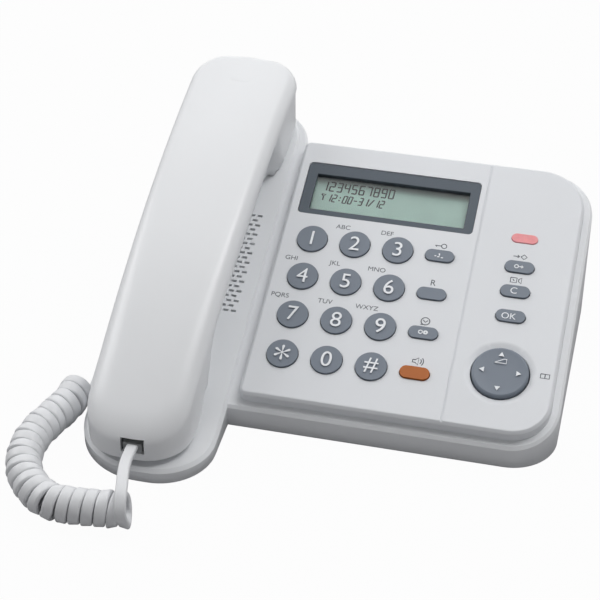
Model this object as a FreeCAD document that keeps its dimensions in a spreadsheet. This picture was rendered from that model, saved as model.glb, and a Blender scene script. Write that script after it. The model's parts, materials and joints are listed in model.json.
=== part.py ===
import FreeCAD, Part
import math
import os
import Sketcher
from FreeCAD import Placement, Rotation, Vector

# Corded desk telephone, in millimetres. +X right, +Y to the back, +Z up.
# The origin is on the floor in the middle of the outline.

doc = FreeCAD.newDocument("Telephone")
sheet = doc.addObject("Spreadsheet::Sheet", "Sizes")

SIZES = [
    # key panel, measured in its own slope: across (X), up the slope, and off its face
    ("panel_tilt", 20.0),
    ("panel_x", -1.8),
    ("panel_y", -4.0),
    ("panel_z", 34.25),
    ("panel_left", 32.7),
    ("panel_right", 93.3),
    ("panel_front", 50.3),
    ("panel_back", 81.9),
    ("panel_raise", 5.8),
    ("panel_skin", 2.2),
    ("panel_wall", 2.0),
    ("panel_round_front", 16.0),
    ("panel_round_back", 20.0),
    ("panel_round_small", 3.0),
    ("panel_edge", 1.2),
    ("groove_x", 51.0),
    ("groove_width", 0.9),
    ("groove_depth", 0.5),
    # case
    ("wall", 2.2),
    ("ledge_width", 3.5),
    ("ledge_back", 2.6),
    ("ledge_edge", 1.0),
    ("body_round", 20.0),
    ("skirt_bottom", 1.4),
    ("floor_bottom", 1.0),
    ("floor_skin", 2.2),
    ("floor_inset", 0.8),
    ("lip_height", 4.2),
    ("lip_wall", 1.6),
    ("foot_length", 14.0),
    ("foot_width", 8.0),
    ("foot_sink", 0.3),
    # cradle column
    ("column_left", -95.0),
    ("column_right", -38.5),
    ("column_front", -94.0),
    ("column_back", 94.0),
    ("column_round_right", 22.0),
    ("column_round_left", 30.0),
    ("column_round_back", 18.0),
    ("deck_raise", 1.0),
    ("deck_front_height", 6.8),
    ("deck_bend", 55.0),
    ("deck_edge", 1.4),
    # sound slots beside the handset
    ("slot_rows", 21),
    ("slot_columns", 2),
    ("slot_pitch", 3.3),
    ("slot_row_pitch", 2.5),
    ("slot_length", 2.3),
    ("slot_width", 1.1),
    ("slot_first_x", -45.6),
    ("slot_first_v", -9.0),
    # dial keys
    ("dial_pitch_x", 18.6),
    ("dial_pitch_v", 19.5),
    ("dial_radius", 6.5),
    ("key_proud", 1.4),
    ("key_travel", 1.2),
    ("key_gap", 0.25),
    ("key_flange", 1.0),
    ("key_flange_out", 1.1),
    ("key_chamfer", 0.5),
    ("flange_gap", 0.3),
    # long keys
    ("pill_length", 12.3),
    ("pill_width", 5.6),
    ("function_x", 36.6),
    ("menu_x", 70.6),
    ("menu_key_v", 29.0),
    ("menu_pitch_v", 12.4),
    ("lamp_v", 43.9),
    ("lamp_length", 11.4),
    ("lamp_width", 4.8),
    ("lamp_proud", 0.4),
    # navigation disc
    ("disc_v", -22.6),
    ("disc_radius", 11.1),
    ("disc_proud", 1.0),
    ("disc_thick", 2.2),
    ("disc_gap", 0.5),
    ("disc_tilt", 2.4),
    ("dish_radius", 14.0),
    ("dish_depth", 0.9),
    ("pivot_radius", 1.6),
    # display
    ("bezel_rim_left", 4.6),
    ("bezel_rim_right", 4.1),
    ("bezel_rim_top", 5.8),
    ("bezel_rim_bottom", 2.8),
    ("bezel_round", 2.0),
    ("bezel_gap", 0.15),
    ("bezel_sink", 0.25),
    ("bezel_depth", 4.2),
    ("window_length", 67.6),
    ("window_width", 19.0),
    ("window_x", 10.2),
    ("window_v", 55.0),
    ("window_sink", 1.2),
    ("window_thick", 1.0),
    ("lcd_thick", 2.0),
    # inside the panel
    ("mat_thick", 1.2),
    ("dome_size", 5.0),
    ("board_thick", 1.6),
    # handset, lying along the slope
    ("hand_x", -67.0),
    ("hand_lean", 1.3),
    ("hand_half_ear", 24.9),
    ("hand_half_mouth", 20.9),
    ("hand_back_y", 94.0),
    ("hand_top", 29.5),
    ("hand_middle", 13.3),
    ("hand_arch", 500.0),
    ("hand_crown", 90.0),
    ("hand_round_ear", 13.0),
    ("hand_round_mouth", 17.0),
    ("hand_edge", 5.0),
    ("hand_sole_edge", 0.8),
    ("hand_wall", 2.2),
    ("hand_seam", 8.0),
    ("hand_rest_gap", 0.3),
    ("grip_under", 16.0),
    ("mouth_front_y", -92.3),
    ("mouth_rear_y", -48.5),
    ("ear_front", 61.0),
    # jacks and plugs
    ("plug_width", 7.65),
    ("plug_height", 6.6),
    ("plug_length", 11.5),
    ("jack_gap", 0.35),
    ("jack_wall", 1.2),
    ("jack_length", 14.0),
    ("hand_jack_x", -66.5),
    ("hand_jack_z", 16.2),
    ("base_jack_y", -26.7),
    ("base_jack_z", 8.3),
    ("line_jack_x", 60.0),
    ("line_jack_width", 10.0),
    ("line_jack_height", 7.0),
    # hook
    ("hook_v", 82.0),
    ("hook_width", 9.0),
    ("hook_depth", 5.0),
    ("hook_travel", 4.0),
    ("hook_gap", 0.3),
    # cord
    ("strand", 2.8),
    ("coil_radius", 6.1),
    ("coil_pitch", 4.65),
    ("coil_height", 7.7),
]
for row, (alias, value) in enumerate(SIZES, start=1):
    sheet.set("A%d" % row, alias)
    sheet.set("B%d" % row, str(value))
    sheet.setAlias("B%d" % row, alias)
doc.recompute()


def size(alias):
    """One driving dimension, read back from the sheet."""
    return float(sheet.get(alias))


nodes = {}
TILT = math.radians(size("panel_tilt"))
SLOPE = Rotation(Vector(1, 0, 0), size("panel_tilt"))
PANEL = Placement(Vector(size("panel_x"), size("panel_y"), size("panel_z")), SLOPE)
BIG = 400.0


# Places and outlines

def on_panel(u, v, w):
    """Placement on the key panel: across, up the slope, off the face."""
    return PANEL.multiply(Placement(Vector(u, v, w), Rotation()))


def slope_height(w, y):
    """Height above the floor of the plane that lies w off the panel face."""
    return size("panel_z") + w / math.cos(TILT) + (y - size("panel_y")) * math.tan(TILT)


def to_slope(y, z):
    """Turns a side-view point into distance up the slope and distance off the panel."""
    dy, dz = y - size("panel_y"), z - size("panel_z")
    return dy * math.cos(TILT) + dz * math.sin(TILT), dz * math.cos(TILT) - dy * math.sin(TILT)


def bar(x0, x1, y0, y1, z0, z1):
    return Part.makeBox(x1 - x0, y1 - y0, z1 - z0, Vector(x0, y0, z0))


def round_path(points, place):
    """Closed wire through corners (a, b, radius), each rounded by its own radius."""
    count = len(points)
    joints = []
    for index in range(count):
        here = place(points[index][0], points[index][1])
        radius = points[index][2]
        back = (place(*points[index - 1][:2]) - here).normalize()
        ahead = (place(*points[(index + 1) % count][:2]) - here).normalize()
        if radius <= 0:
            joints.append((here, None, here))
            continue
        half = back.getAngle(ahead) / 2.0
        reach = radius / math.tan(half)
        bisector = (back + ahead).normalize()
        centre = here + bisector * (radius / math.sin(half))
        joints.append((here + back * reach, centre - bisector * radius, here + ahead * reach))
    edges = []
    for index in range(count):
        start, middle, stop = joints[index]
        if middle is not None:
            edges.append(Part.Arc(start, middle, stop).toShape())
        following = joints[(index + 1) % count][0]
        if stop.distanceToPoint(following) > 1e-6:
            edges.append(Part.makeLine(stop, following))
    return Part.Wire(edges)


def plan_prism(points, z0, z1):
    """Solid whose outline from above runs through (x, y, radius) corners."""
    wire = round_path(points, lambda x, y: Vector(x, y, z0))
    return Part.Face(wire).extrude(Vector(0, 0, z1 - z0))


def side_prism(points, x0, x1):
    """Solid whose side view runs through (y, z, radius) corners."""
    wire = round_path(points, lambda y, z: Vector(x0, y, z))
    return Part.Face(wire).extrude(Vector(x1 - x0, 0, 0))


def rounded_prism(x0, x1, y0, y1, radii, z0, z1):
    """Block with its own radius at each corner, from the front left round to the back left."""
    corners = [(x0, y0), (x1, y0), (x1, y1), (x0, y1)]
    return plan_prism([(x, y, r) for (x, y), r in zip(corners, radii)], z0, z1)


def pill(length, width, z0, z1, u=0.0, v=0.0):
    """Bar with half-round ends, lying across."""
    half, radius = length / 2.0, width / 2.0
    a = Vector(u - half + radius, v - radius, z0)
    b = Vector(u + half - radius, v - radius, z0)
    c = Vector(u + half - radius, v + radius, z0)
    d = Vector(u - half + radius, v + radius, z0)
    right = Part.Arc(b, Vector(u + half, v, z0), c).toShape()
    left = Part.Arc(d, Vector(u - half, v, z0), a).toShape()
    wire = Part.Wire([Part.makeLine(a, b), right, Part.makeLine(c, d), left])
    return Part.Face(wire).extrude(Vector(0, 0, z1 - z0))


def edges_where(shape, test):
    return [edge for edge in shape.Edges if test(edge)]


def feature(name, shape, placement=Placement()):
    """Sub-part whose form comes from the functions above."""
    item = doc.addObject("Part::Feature", name)
    item.Label = name
    item.Shape = shape
    item.Placement = placement.multiply(item.Placement)
    nodes[name] = item


def from_slope(v, w):
    """Side-view point of a place up the slope and off the panel face."""
    y = size("panel_y") + v * math.cos(TILT) - w * math.sin(TILT)
    z = size("panel_z") + v * math.sin(TILT) + w * math.cos(TILT)
    return y, z


def below_slope(w):
    """Everything below the plane that lies w off the panel face."""
    block = bar(-BIG, BIG, -BIG, BIG, w - BIG, w)
    block.Placement = PANEL
    return block


# Case outline

LEDGE = -size("panel_raise")
DECK = LEDGE + size("deck_raise")
BODY_LEFT = size("panel_x") - size("panel_left")
BODY_RIGHT = size("panel_x") + size("panel_right") + size("ledge_width")
BODY_FRONT = from_slope(-size("panel_front"), LEDGE)[0] - size("ledge_width")
BODY_BACK = from_slope(size("panel_back"), LEDGE)[0] + size("ledge_back")
FLOOR_TOP = size("floor_bottom") + size("floor_skin")


def body_prism(inset, z0, z1):
    """Outline of the key side, from above."""
    front_round = size("panel_round_front") + size("ledge_width") - inset
    back_round = size("body_round") - inset
    left = size("column_right") - size("column_round_back") + inset
    corners = [
        (left, BODY_FRONT + inset, 0),
        (BODY_RIGHT - inset, BODY_FRONT + inset, front_round),
        (BODY_RIGHT - inset, BODY_BACK - inset, back_round),
        (left, BODY_BACK - inset, 0),
    ]
    return plan_prism(corners, z0, z1)


def tail_prism(inset, z0, z1):
    """Outline behind the key panel, where the body runs on under the handset."""
    round_back = size("body_round") - inset
    front = BODY_BACK - 2 * size("body_round") + inset
    corners = [
        (size("column_left") + inset, front, 0),
        (BODY_LEFT - inset, front, 0),
        (BODY_LEFT - inset, size("column_back") - inset, round_back),
        (size("column_left") + inset, size("column_back") - inset, round_back),
    ]
    return plan_prism(corners, z0, z1)


def column_prism(inset, z0, z1):
    """Outline of the cradle column."""
    corners = [
        (size("column_left") + inset, size("column_front") + inset, size("column_round_left") - inset),
        (size("column_right") - inset, size("column_front") + inset, size("column_round_right") - inset),
        (size("column_right") - inset, size("column_back") - inset, size("column_round_back") - inset),
        (size("column_left") + inset, size("column_back") - inset, size("body_round") - inset),
    ]
    return plan_prism(corners, z0, z1)


def footprint(inset, z0, z1):
    whole = body_prism(inset, z0, z1).fuse([tail_prism(inset, z0, z1), column_prism(inset, z0, z1)])
    return whole.removeSplitter()


def deck_bend_y():
    """Where the level front of the deck meets its slope."""
    rise = size("deck_front_height") - slope_height(DECK, size("panel_y"))
    return size("panel_y") + rise / math.tan(TILT)


def under_deck(drop):
    """Everything below the cradle deck, lowered by drop."""
    level = size("deck_front_height") - drop
    front, back = size("column_front") - 5, size("column_back") + 5
    top_back = slope_height(DECK, back) - drop / math.cos(TILT)
    bend = size("deck_bend") + drop
    knee = deck_bend_y() + drop * math.tan(TILT / 2)
    corners = [
        (front, -5, 0), (back, -5, 0), (back, top_back, 0), (knee, level, bend), (front, level, 0),
    ]
    return side_prism(corners, size("column_left") - 5, size("column_right") + 5)


def case_form(inset, drop, bottom):
    """The upper case as a full solid, drawn in by inset and lowered by drop."""
    body = body_prism(inset, bottom, BIG / 2).common(below_slope(LEDGE - drop))
    tail = tail_prism(inset, bottom, BIG / 2).common(below_slope(LEDGE - drop))
    column = column_prism(inset, bottom, BIG / 2).common(under_deck(drop))
    if inset == 0:
        top = edges_where(column, lambda edge: edge.BoundBox.ZMin > size("deck_front_height") - 0.01)
        column = column.makeChamfer(size("deck_edge"), top)
        body = edge_rounded(body, bottom)
        tail = edge_rounded(tail, bottom)
    return body.fuse([tail, column]).removeSplitter()


def edge_rounded(solid, bottom):
    """Rounds the outer top edge of a sloped block, all but its left end."""
    left = solid.BoundBox.XMin + 0.01
    top = edges_where(
        solid,
        lambda edge: edge.BoundBox.ZMin > bottom + 1
        and edge.BoundBox.XMax > left
        and on_plane(edge),
    )
    return solid.makeChamfer(size("ledge_edge"), top)


def on_plane(edge):
    """Tells whether an edge lies in the plane of the ledge."""
    middle = edge.valueAt((edge.FirstParameter + edge.LastParameter) / 2)
    ends = [vertex.Point for vertex in edge.Vertexes] + [middle]
    return all(abs(to_slope(point.y, point.z)[1] - LEDGE) < 1e-3 for point in ends)


# Measures shared by several pieces

SKIN = size("wall")
SKIRT = size("skirt_bottom")
PANEL_SKIN = size("panel_skin")
FLANGE_TOP = -PANEL_SKIN - size("flange_gap")
FLANGE_LOW = FLANGE_TOP - size("key_flange")
DOME_TOP = FLANGE_LOW - size("key_travel") - 0.1
BOARD_TOP = DOME_TOP - 3.2
MAT_TOP = BOARD_TOP + size("mat_thick")
BOARD_LOW = BOARD_TOP - size("board_thick")
PLUG_OPENING = size("jack_gap") * 2
MENU_ROWS = [size("menu_key_v") - index * size("menu_pitch_v") for index in range(3)]
DIAL_ROWS = [(1.5 - index) * size("dial_pitch_v") for index in range(4)]
DIAL_COLUMNS = [(index - 1) * size("dial_pitch_x") for index in range(3)]
HAND_U = size("hand_x") - size("panel_x")


def panel_outline(inset, w0, w1):
    """Outline of the raised key panel, in its own plane."""
    small = max(size("panel_round_small") - inset, 0.0)
    radii = (small, size("panel_round_front") - inset, size("panel_round_back") - inset, small)
    left, right = -size("panel_left") + inset, size("panel_right") - inset
    front, back = -size("panel_front") + inset, size("panel_back") - inset
    return rounded_prism(left, right, front, back, radii, w0, w1)


def placed(shape, placement):
    """The shape with the placement worked into it."""
    moved = shape.copy()
    moved.Placement = placement.multiply(moved.Placement)
    return moved


def in_panel(shape):
    return placed(shape, PANEL)


def sound_slots():
    """Short slots in staggered rows, cut through the deck beside the handset."""
    cuts = []
    depth = 3 * SKIN
    first_u = size("slot_first_x") - size("panel_x")
    for row in range(int(size("slot_rows"))):
        v = size("slot_first_v") + row * size("slot_row_pitch")
        shift = size("slot_pitch") / 2 if row % 2 else 0.0
        for column in range(int(size("slot_columns"))):
            right = first_u - shift - column * size("slot_pitch")
            left, half = right - size("slot_length"), size("slot_width") / 2
            cuts.append(bar(left, right, v - half, v + half, DECK - depth, DECK + depth))
    return [in_panel(cut) for cut in cuts]


# Jacks: an open box whose mouth looks along -X before it is turned

def jack_box(width, height, length):
    """Socket with its mouth at x = 0 and its back at +x."""
    wall = size("jack_wall")
    outer = bar(0, length, -width / 2 - wall, width / 2 + wall, -height / 2 - wall, height / 2 + wall)
    hollow = bar(-1, length - wall, -width / 2, width / 2, -height / 2, height / 2)
    key_slot = bar(-1, length - wall, -width / 6, width / 6, -height / 2 - wall / 2, height / 2)
    return outer.cut([hollow, key_slot])


PLUG_MOUTH = size("plug_width") + PLUG_OPENING
PLUG_TALL = size("plug_height") + PLUG_OPENING
JACK_WIDE = PLUG_MOUTH + 2 * size("jack_wall")
JACK_TALL = PLUG_TALL + 2 * size("jack_wall")
LINE_WIDE = size("line_jack_width") + 2 * size("jack_wall")
LINE_TALL = size("line_jack_height") + 2 * size("jack_wall")
MAIN_TOP = 23.6
LINE_Z = MAIN_TOP + LINE_TALL / 2
JACK_FIT = 0.15


# Upper case

def upper_case():
    form = case_form(0, 0, SKIRT)
    hollow = case_form(SKIN, SKIN, SKIRT - 5)
    rim = size("panel_wall") + 0.5
    window = in_panel(panel_outline(rim, LEDGE - 3 * SKIN, LEDGE + 5))
    hook_u, hook_half = size("hook_width") / 2 + size("hook_gap"), size("hook_depth") / 2 + size("hook_gap")
    hook_hole = in_panel(bar(
        HAND_U - hook_u, HAND_U + hook_u, size("hook_v") - hook_half, size("hook_v") + hook_half,
        DECK - 3 * SKIN, DECK + SKIN,
    ))
    half, tall = JACK_WIDE / 2 + JACK_FIT, JACK_TALL / 2 + JACK_FIT
    side_hole = bar(
        size("column_left") - 5, size("column_left") + 5,
        size("base_jack_y") - half, size("base_jack_y") + half,
        size("base_jack_z") - tall, size("base_jack_z") + tall,
    )
    half, tall = LINE_WIDE / 2 + JACK_FIT, LINE_TALL / 2 + JACK_FIT
    rear_hole = bar(
        size("line_jack_x") - half, size("line_jack_x") + half, BODY_BACK - 5, BODY_BACK + 5,
        LINE_Z - tall, LINE_Z + tall,
    )
    shell = form.cut([hollow, window, hook_hole, side_hole, rear_hole] + sound_slots())
    walls = hook_guides()
    return shell.fuse(walls).removeSplitter()


def hook_guides():
    """Two ribs under the deck that carry the hook switch."""
    reach = HOOK_SWITCH_WIDE / 2 + 0.1
    low = HOOK_SWITCH_LOW
    ribs = []
    for side in (-1, 1):
        inner, outer = HAND_U + side * reach, HAND_U + side * (reach + 1.6)
        left, right = min(inner, outer), max(inner, outer)
        rib = bar(left, right, size("hook_v") - 4, size("hook_v") + 4, low, DECK - SKIN / 2)
        ribs.append(in_panel(rib))
    return ribs


HOOK_TOP = DECK + 0.2
HOOK_FLANGE = DECK - SKIN - size("hook_travel") - 0.4
HOOK_LOW = HOOK_FLANGE - 4.0
HOOK_SWITCH_WIDE = 14.0
HOOK_SWITCH_LOW = HOOK_LOW - 7.0


# Key panel

def key_panel():
    form = panel_outline(0, LEDGE, 0)
    face = edges_where(form, lambda edge: edge.BoundBox.ZMin > -0.01)
    form = form.makeChamfer(size("panel_edge"), face)
    hollow = panel_outline(size("panel_wall"), LEDGE - 1, -PANEL_SKIN)
    cuts = [hollow]
    gap, deep = size("key_gap"), PANEL_SKIN + 1
    for v in DIAL_ROWS:
        for u in DIAL_COLUMNS:
            cuts.append(Part.makeCylinder(size("dial_radius") + gap, 2 * deep, Vector(u, v, -deep)))
        cuts.append(pill(size("pill_length") + 2 * gap, size("pill_width") + 2 * gap, -deep, deep,
                         size("function_x"), v))
    for v in MENU_ROWS:
        cuts.append(pill(size("pill_length") + 2 * gap, size("pill_width") + 2 * gap, -deep, deep,
                         size("menu_x"), v))
    cuts.append(pill(size("lamp_length"), size("lamp_width"), -deep, deep, size("menu_x"), size("lamp_v")))
    disc_hole = size("disc_radius") + size("disc_gap")
    centre = Vector(size("menu_x"), size("disc_v"), 0)
    cuts.append(Part.makeCylinder(disc_hole, 2 * deep, centre - Vector(0, 0, deep)))
    dish = Part.makeCone(disc_hole, size("dish_radius"), size("dish_depth"), centre - Vector(0, 0, size("dish_depth")))
    cuts.append(dish)
    cuts.append(bezel_block(size("bezel_gap"), -BEZEL_LIP, 1.0, 0.0))
    cuts.append(bezel_block(size("bezel_gap"), -deep, 1.0, BEZEL_STEP))
    half = size("groove_width") / 2
    cuts.append(bar(size("groove_x") - half, size("groove_x") + half, -BIG / 2, BIG / 2,
                    -size("groove_depth"), 1.0))
    return form.cut(cuts).fuse(panel_posts()).removeSplitter()


BEZEL_LIP = 1.5
BEZEL_STEP = 1.4
BOARD_LEFT, BOARD_RIGHT = -28.0, 86.0
BOARD_FRONT, BOARD_BACK = -44.0, 76.0
POST_PLACES = [(-25.0, -40.5), (56.0, -40.5), (-25.0, 39.3), (56.0, 39.3)]


def panel_posts():
    """Posts under the panel that carry the key board."""
    return [
        bar(u - 2, u + 2, v - 2, v + 2, BOARD_TOP, -PANEL_SKIN / 2)
        for u, v in POST_PLACES
    ]


def bezel_block(grow, w0, w1, step):
    """Display frame outline round the window, grown for its hole or drawn in by a step."""
    half_u, half_v = size("window_length") / 2, size("window_width") / 2
    left = size("window_x") - half_u - size("bezel_rim_left") - grow + step
    right = size("window_x") + half_u + size("bezel_rim_right") + grow - step
    bottom = size("window_v") - half_v - size("bezel_rim_bottom") - grow + step
    top = size("window_v") + half_v + size("bezel_rim_top") + grow - step
    round_off = max(size("bezel_round") - step, 0.4)
    return rounded_prism(left, right, bottom, top, (round_off,) * 4, w0, w1)


def window_block(grow, w0, w1):
    half_u, half_v = size("window_length") / 2 + grow, size("window_width") / 2 + grow
    u, v = size("window_x"), size("window_v")
    return bar(u - half_u, u + half_u, v - half_v, v + half_v, w0, w1)


WINDOW_TOP = -size("bezel_sink") - size("window_sink")
WINDOW_LIP = 1.0
BEZEL_LOW = -size("bezel_sink") - size("bezel_depth")


def display_bezel():
    flange = bezel_block(0.0, -BEZEL_LIP, -size("bezel_sink"), 0.0)
    tub = bezel_block(0.0, BEZEL_LOW, -BEZEL_LIP, BEZEL_STEP)
    opening = window_block(0.0, BEZEL_LOW - 1, 1.0)
    rebate = window_block(WINDOW_LIP, BEZEL_LOW - 1, WINDOW_TOP)
    return flange.fuse(tub).cut([opening, rebate])


def lcd_holder():
    low = BEZEL_LOW - size("lcd_thick")
    frame = window_block(WINDOW_LIP + 1.4, BOARD_TOP, BEZEL_LOW)
    return frame.cut([window_block(WINDOW_LIP, low, 1.0), window_block(-2.0, BOARD_TOP - 1, low)])


# Keys

DISC_FLANGE = size("disc_radius") + 1.5
DISC_FLANGE_TOP = -PANEL_SKIN - 0.8
DISC_LOW = DISC_FLANGE_TOP - 0.8


def navigation_disc():
    """Turned profile: shallow dish, rim, and the flange that keeps it in."""
    radius, top = size("disc_radius"), size("disc_proud")
    dish = top - 0.5
    points = [
        Vector(0, 0, DISC_LOW), Vector(DISC_FLANGE, 0, DISC_LOW), Vector(DISC_FLANGE, 0, DISC_FLANGE_TOP),
        Vector(radius, 0, DISC_FLANGE_TOP), Vector(radius, 0, top - 0.6), Vector(radius - 0.8, 0, top),
        Vector(radius / 2, 0, dish), Vector(0, 0, dish),
    ]
    return Part.Face(Part.makePolygon(points + [points[0]])).revolve(Vector(0, 0, 0), Vector(0, 0, 1), 360)


def navigation_pivot():
    """Pointed pin under the disc; the disc rocks on its tip."""
    radius, low, shoulder = size("pivot_radius"), MAT_TOP + 0.15, DISC_LOW - 1.2
    pin = Part.makeCylinder(radius, shoulder - low, Vector(0, 0, low))
    tip = Part.makeCone(radius, 0.5, DISC_LOW - 0.05 - shoulder, Vector(0, 0, shoulder))
    return pin.fuse(tip).removeSplitter()


def lamp_lens():
    top, low = size("lamp_proud"), FLANGE_TOP - 1.0
    length, width = size("lamp_length") - 0.2, size("lamp_width") - 0.2
    lens = pill(length, width, FLANGE_TOP + 0.3, top)
    return lens.fuse(pill(length + 1.6, width + 1.6, low, FLANGE_TOP + 0.3)).removeSplitter()


def rubber_mat():
    """Mat with one raised dome under each key."""
    sheet_low, half = BOARD_TOP, size("dome_size") / 2
    left, right = DIAL_COLUMNS[0] - 8, size("menu_x") + 13
    front, back = DIAL_ROWS[-1] - 7, DIAL_ROWS[0] + 7
    mat = bar(left, right, front, back, sheet_low, MAT_TOP)
    places = [(u, v) for v in DIAL_ROWS for u in DIAL_COLUMNS + [size("function_x")]]
    places += [(size("menu_x"), v) for v in MENU_ROWS]
    reach = size("disc_radius") - 2.5
    places += [(size("menu_x") + reach * math.cos(a), size("disc_v") + reach * math.sin(a))
               for a in (0, math.pi / 2, math.pi, 3 * math.pi / 2)]
    domes = []
    for index, (u, v) in enumerate(places):
        side = half if index < len(places) - 4 else half / 2
        domes.append(bar(u - side, u + side, v - side, v + side, MAT_TOP - 0.1, DOME_TOP))
    return mat.fuse(domes).removeSplitter()


# Lower case and what stands in it

CELL_RADIUS = 7.1
CELL_LENGTH = 50.0
CELL_GAP = 0.4
BAY_CENTRE = (-2.0, 32.0)
BAY_LENGTH = CELL_LENGTH + 3.0
BAY_WIDTH = 3 * (2 * CELL_RADIUS + CELL_GAP) + 1.0
BAY_TOP = FLOOR_TOP + 2 * CELL_RADIUS + 1.2
BAY_WALL = 1.6
COVER_GAP = 0.25
COVER_THICK = 1.2
COVER_TRAVEL = 6.0
SCREW_PLACES = [(-80.0, -57.0), (78.0, -34.0), (78.0, 55.0), (-78.0, 78.0)]
SCREW_HEAD = (2.8, 1.8)
SCREW_SHANK = 1.4
FOOT_PLACES = [(-67.0, -86.0), (78.0, -45.0), (78.0, 70.0), (-80.0, 86.0), (-20.0, 70.0)]
KEYHOLE_X = 48.0
KEYHOLE_Y = (-28.0, 55.0)
KEYHOLE_RADIUS = 4.25
KEYHOLE_SLOT = (2.1, 8.0)
BOARD_PLACES = [(-36.0, 40.0), (34.0, 30.0), (-32.0, 68.0), (80.0, 68.0)]
MAIN_THICK = 1.6
MAIN_LEFT, MAIN_RIGHT, MAIN_FRONT, MAIN_BACK = -40.0, 84.0, 26.0, 72.0


def bay_block(grow, z0, z1):
    x, y = BAY_CENTRE
    half_x, half_y = BAY_LENGTH / 2 + grow, BAY_WIDTH / 2 + grow
    return bar(x - half_x, x + half_x, y - half_y, y + half_y, z0, z1)


def cover_block(grow, z0, z1, room=0.0):
    x, y = BAY_CENTRE
    half_x, half_y = BAY_LENGTH / 2 + 2.4 + grow, BAY_WIDTH / 2 + 2.4 + grow
    return bar(x - half_x, x + half_x, y - half_y - room, y + half_y, z0, z1)


def lower_case():
    low, lip_inset = size("floor_bottom"), SKIN + 0.3
    flange = footprint(size("floor_inset"), low, SKIRT)
    core = footprint(lip_inset, low, FLOOR_TOP)
    lip = footprint(lip_inset, FLOOR_TOP, size("lip_height")).cut(
        footprint(lip_inset + size("lip_wall"), FLOOR_TOP - 1, size("lip_height") + 1))
    bay = bay_block(BAY_WALL, FLOOR_TOP - 1, BAY_TOP + BAY_WALL)
    posts = [bar(x - 2.5, x + 2.5, y - 2.5, y + 2.5, low, MAIN_TOP - MAIN_THICK) for x, y in BOARD_PLACES]
    tray = flange.fuse([core, lip, bay] + posts)
    recess = cover_block(COVER_GAP, low - 1, low + COVER_THICK + COVER_GAP, COVER_TRAVEL)
    cuts = [bay_block(0.0, low - 1, BAY_TOP), recess]
    for x, y in SCREW_PLACES:
        radius, height = SCREW_HEAD
        cuts.append(Part.makeCylinder(radius + 0.3, height + 0.4, Vector(x, y, low - 0.2)))
        cuts.append(Part.makeCylinder(SCREW_SHANK + 0.2, 10, Vector(x, y, low)))
    for x, y in FOOT_PLACES:
        half_x, half_y = size("foot_length") / 2 + 0.1, size("foot_width") / 2 + 0.1
        cuts.append(bar(x - half_x, x + half_x, y - half_y, y + half_y, low - 0.1, low + size("foot_sink")))
    for y in KEYHOLE_Y:
        half, reach = KEYHOLE_SLOT
        cuts.append(Part.makeCylinder(KEYHOLE_RADIUS, 10, Vector(KEYHOLE_X, y, low - 1)))
        cuts.append(bar(KEYHOLE_X - half, KEYHOLE_X + half, y, y + reach, low - 1, low + 9))
        cuts.append(Part.makeCylinder(half, 10, Vector(KEYHOLE_X, y + reach, low - 1)))
    half = JACK_WIDE / 2 + 0.3
    left, y = size("column_left"), size("base_jack_y")
    cuts.append(bar(left, left + size("jack_length") + 1, y - half, y + half, FLOOR_TOP, FLOOR_TOP + 5))
    return tray.cut(cuts).removeSplitter()


def case_screws():
    """One kind of screw at each corner boss."""
    radius, height = SCREW_HEAD
    low = size("floor_bottom")
    screws = []
    for x, y in SCREW_PLACES:
        head = Part.makeCylinder(radius, height - 0.4, Vector(x, y, low + 0.2))
        shank = Part.makeCylinder(SCREW_SHANK, 4.2, Vector(x, y, low + 0.2))
        screws.append(head.fuse(shank).removeSplitter())
    return Part.makeCompound(screws)


def battery_cover():
    low = size("floor_bottom")
    plate = cover_block(0.0, low + 0.1, low + COVER_THICK)
    x, y = BAY_CENTRE
    grip = y - BAY_WIDTH / 2 + 4
    ridges = [bar(x - 10, x + 10, grip + step, grip + step + 1.0, low - 1, low + 0.5) for step in (0, 2.4, 4.8)]
    return plate.cut(ridges)


def cell_rows():
    return [BAY_CENTRE[1] + (index - 1) * (2 * CELL_RADIUS + CELL_GAP) for index in range(3)]


CELL_LOW = size("floor_bottom") + COVER_THICK + COVER_GAP
BAY_LEFT = BAY_CENTRE[0] - BAY_LENGTH / 2
BAY_RIGHT = BAY_CENTRE[0] + BAY_LENGTH / 2
CONTACT_REACH = 2.4


def battery_cells():
    """Three AA cells side by side."""
    cells = []
    left, z = BAY_LEFT + CONTACT_REACH + 0.1, CELL_LOW + CELL_RADIUS
    for y in cell_rows():
        cells.append(Part.makeCylinder(CELL_RADIUS, CELL_LENGTH, Vector(left, y, z), Vector(1, 0, 0)))
    return Part.makeCompound(cells)


def battery_contacts():
    """Folded strips on one end wall of the bay and flat plates on the other."""
    z0, z1 = CELL_LOW + 2.5, CELL_LOW + 11.5
    strips = []
    for y in cell_rows():
        fold = bar(BAY_LEFT, BAY_LEFT + CONTACT_REACH, y - 4, y + 4, z0, z1)
        gap = bar(BAY_LEFT + 0.5, BAY_LEFT + CONTACT_REACH - 0.5, y - 5, y + 5, z0 + 1.0, z1 + 1)
        strips.append(fold.cut(gap))
        strips.append(bar(BAY_RIGHT - 0.4, BAY_RIGHT, y - 4, y + 4, z0, z1))
    return Part.makeCompound(strips)


def line_jack():
    """Socket for the wall line, its mouth in the rear wall."""
    box = jack_box(size("line_jack_width"), size("line_jack_height"), size("jack_length"))
    turn = Rotation(Vector(0, 0, 1), -90)
    return placed(box, Placement(Vector(size("line_jack_x"), BODY_BACK - 0.3, LINE_Z), turn))


def base_jack():
    """Socket for the handset cord, its mouth in the left wall."""
    box = jack_box(PLUG_MOUTH, PLUG_TALL, size("jack_length"))
    return placed(box, Placement(
        Vector(size("column_left") + 0.3, size("base_jack_y"), size("base_jack_z")), Rotation()))


# Loudspeaker and hook

SPEAKER_U = -63.0 - size("panel_x")
SPEAKER_V = size("slot_first_v") + (size("slot_rows") - 1) * size("slot_row_pitch") / 2


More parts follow.
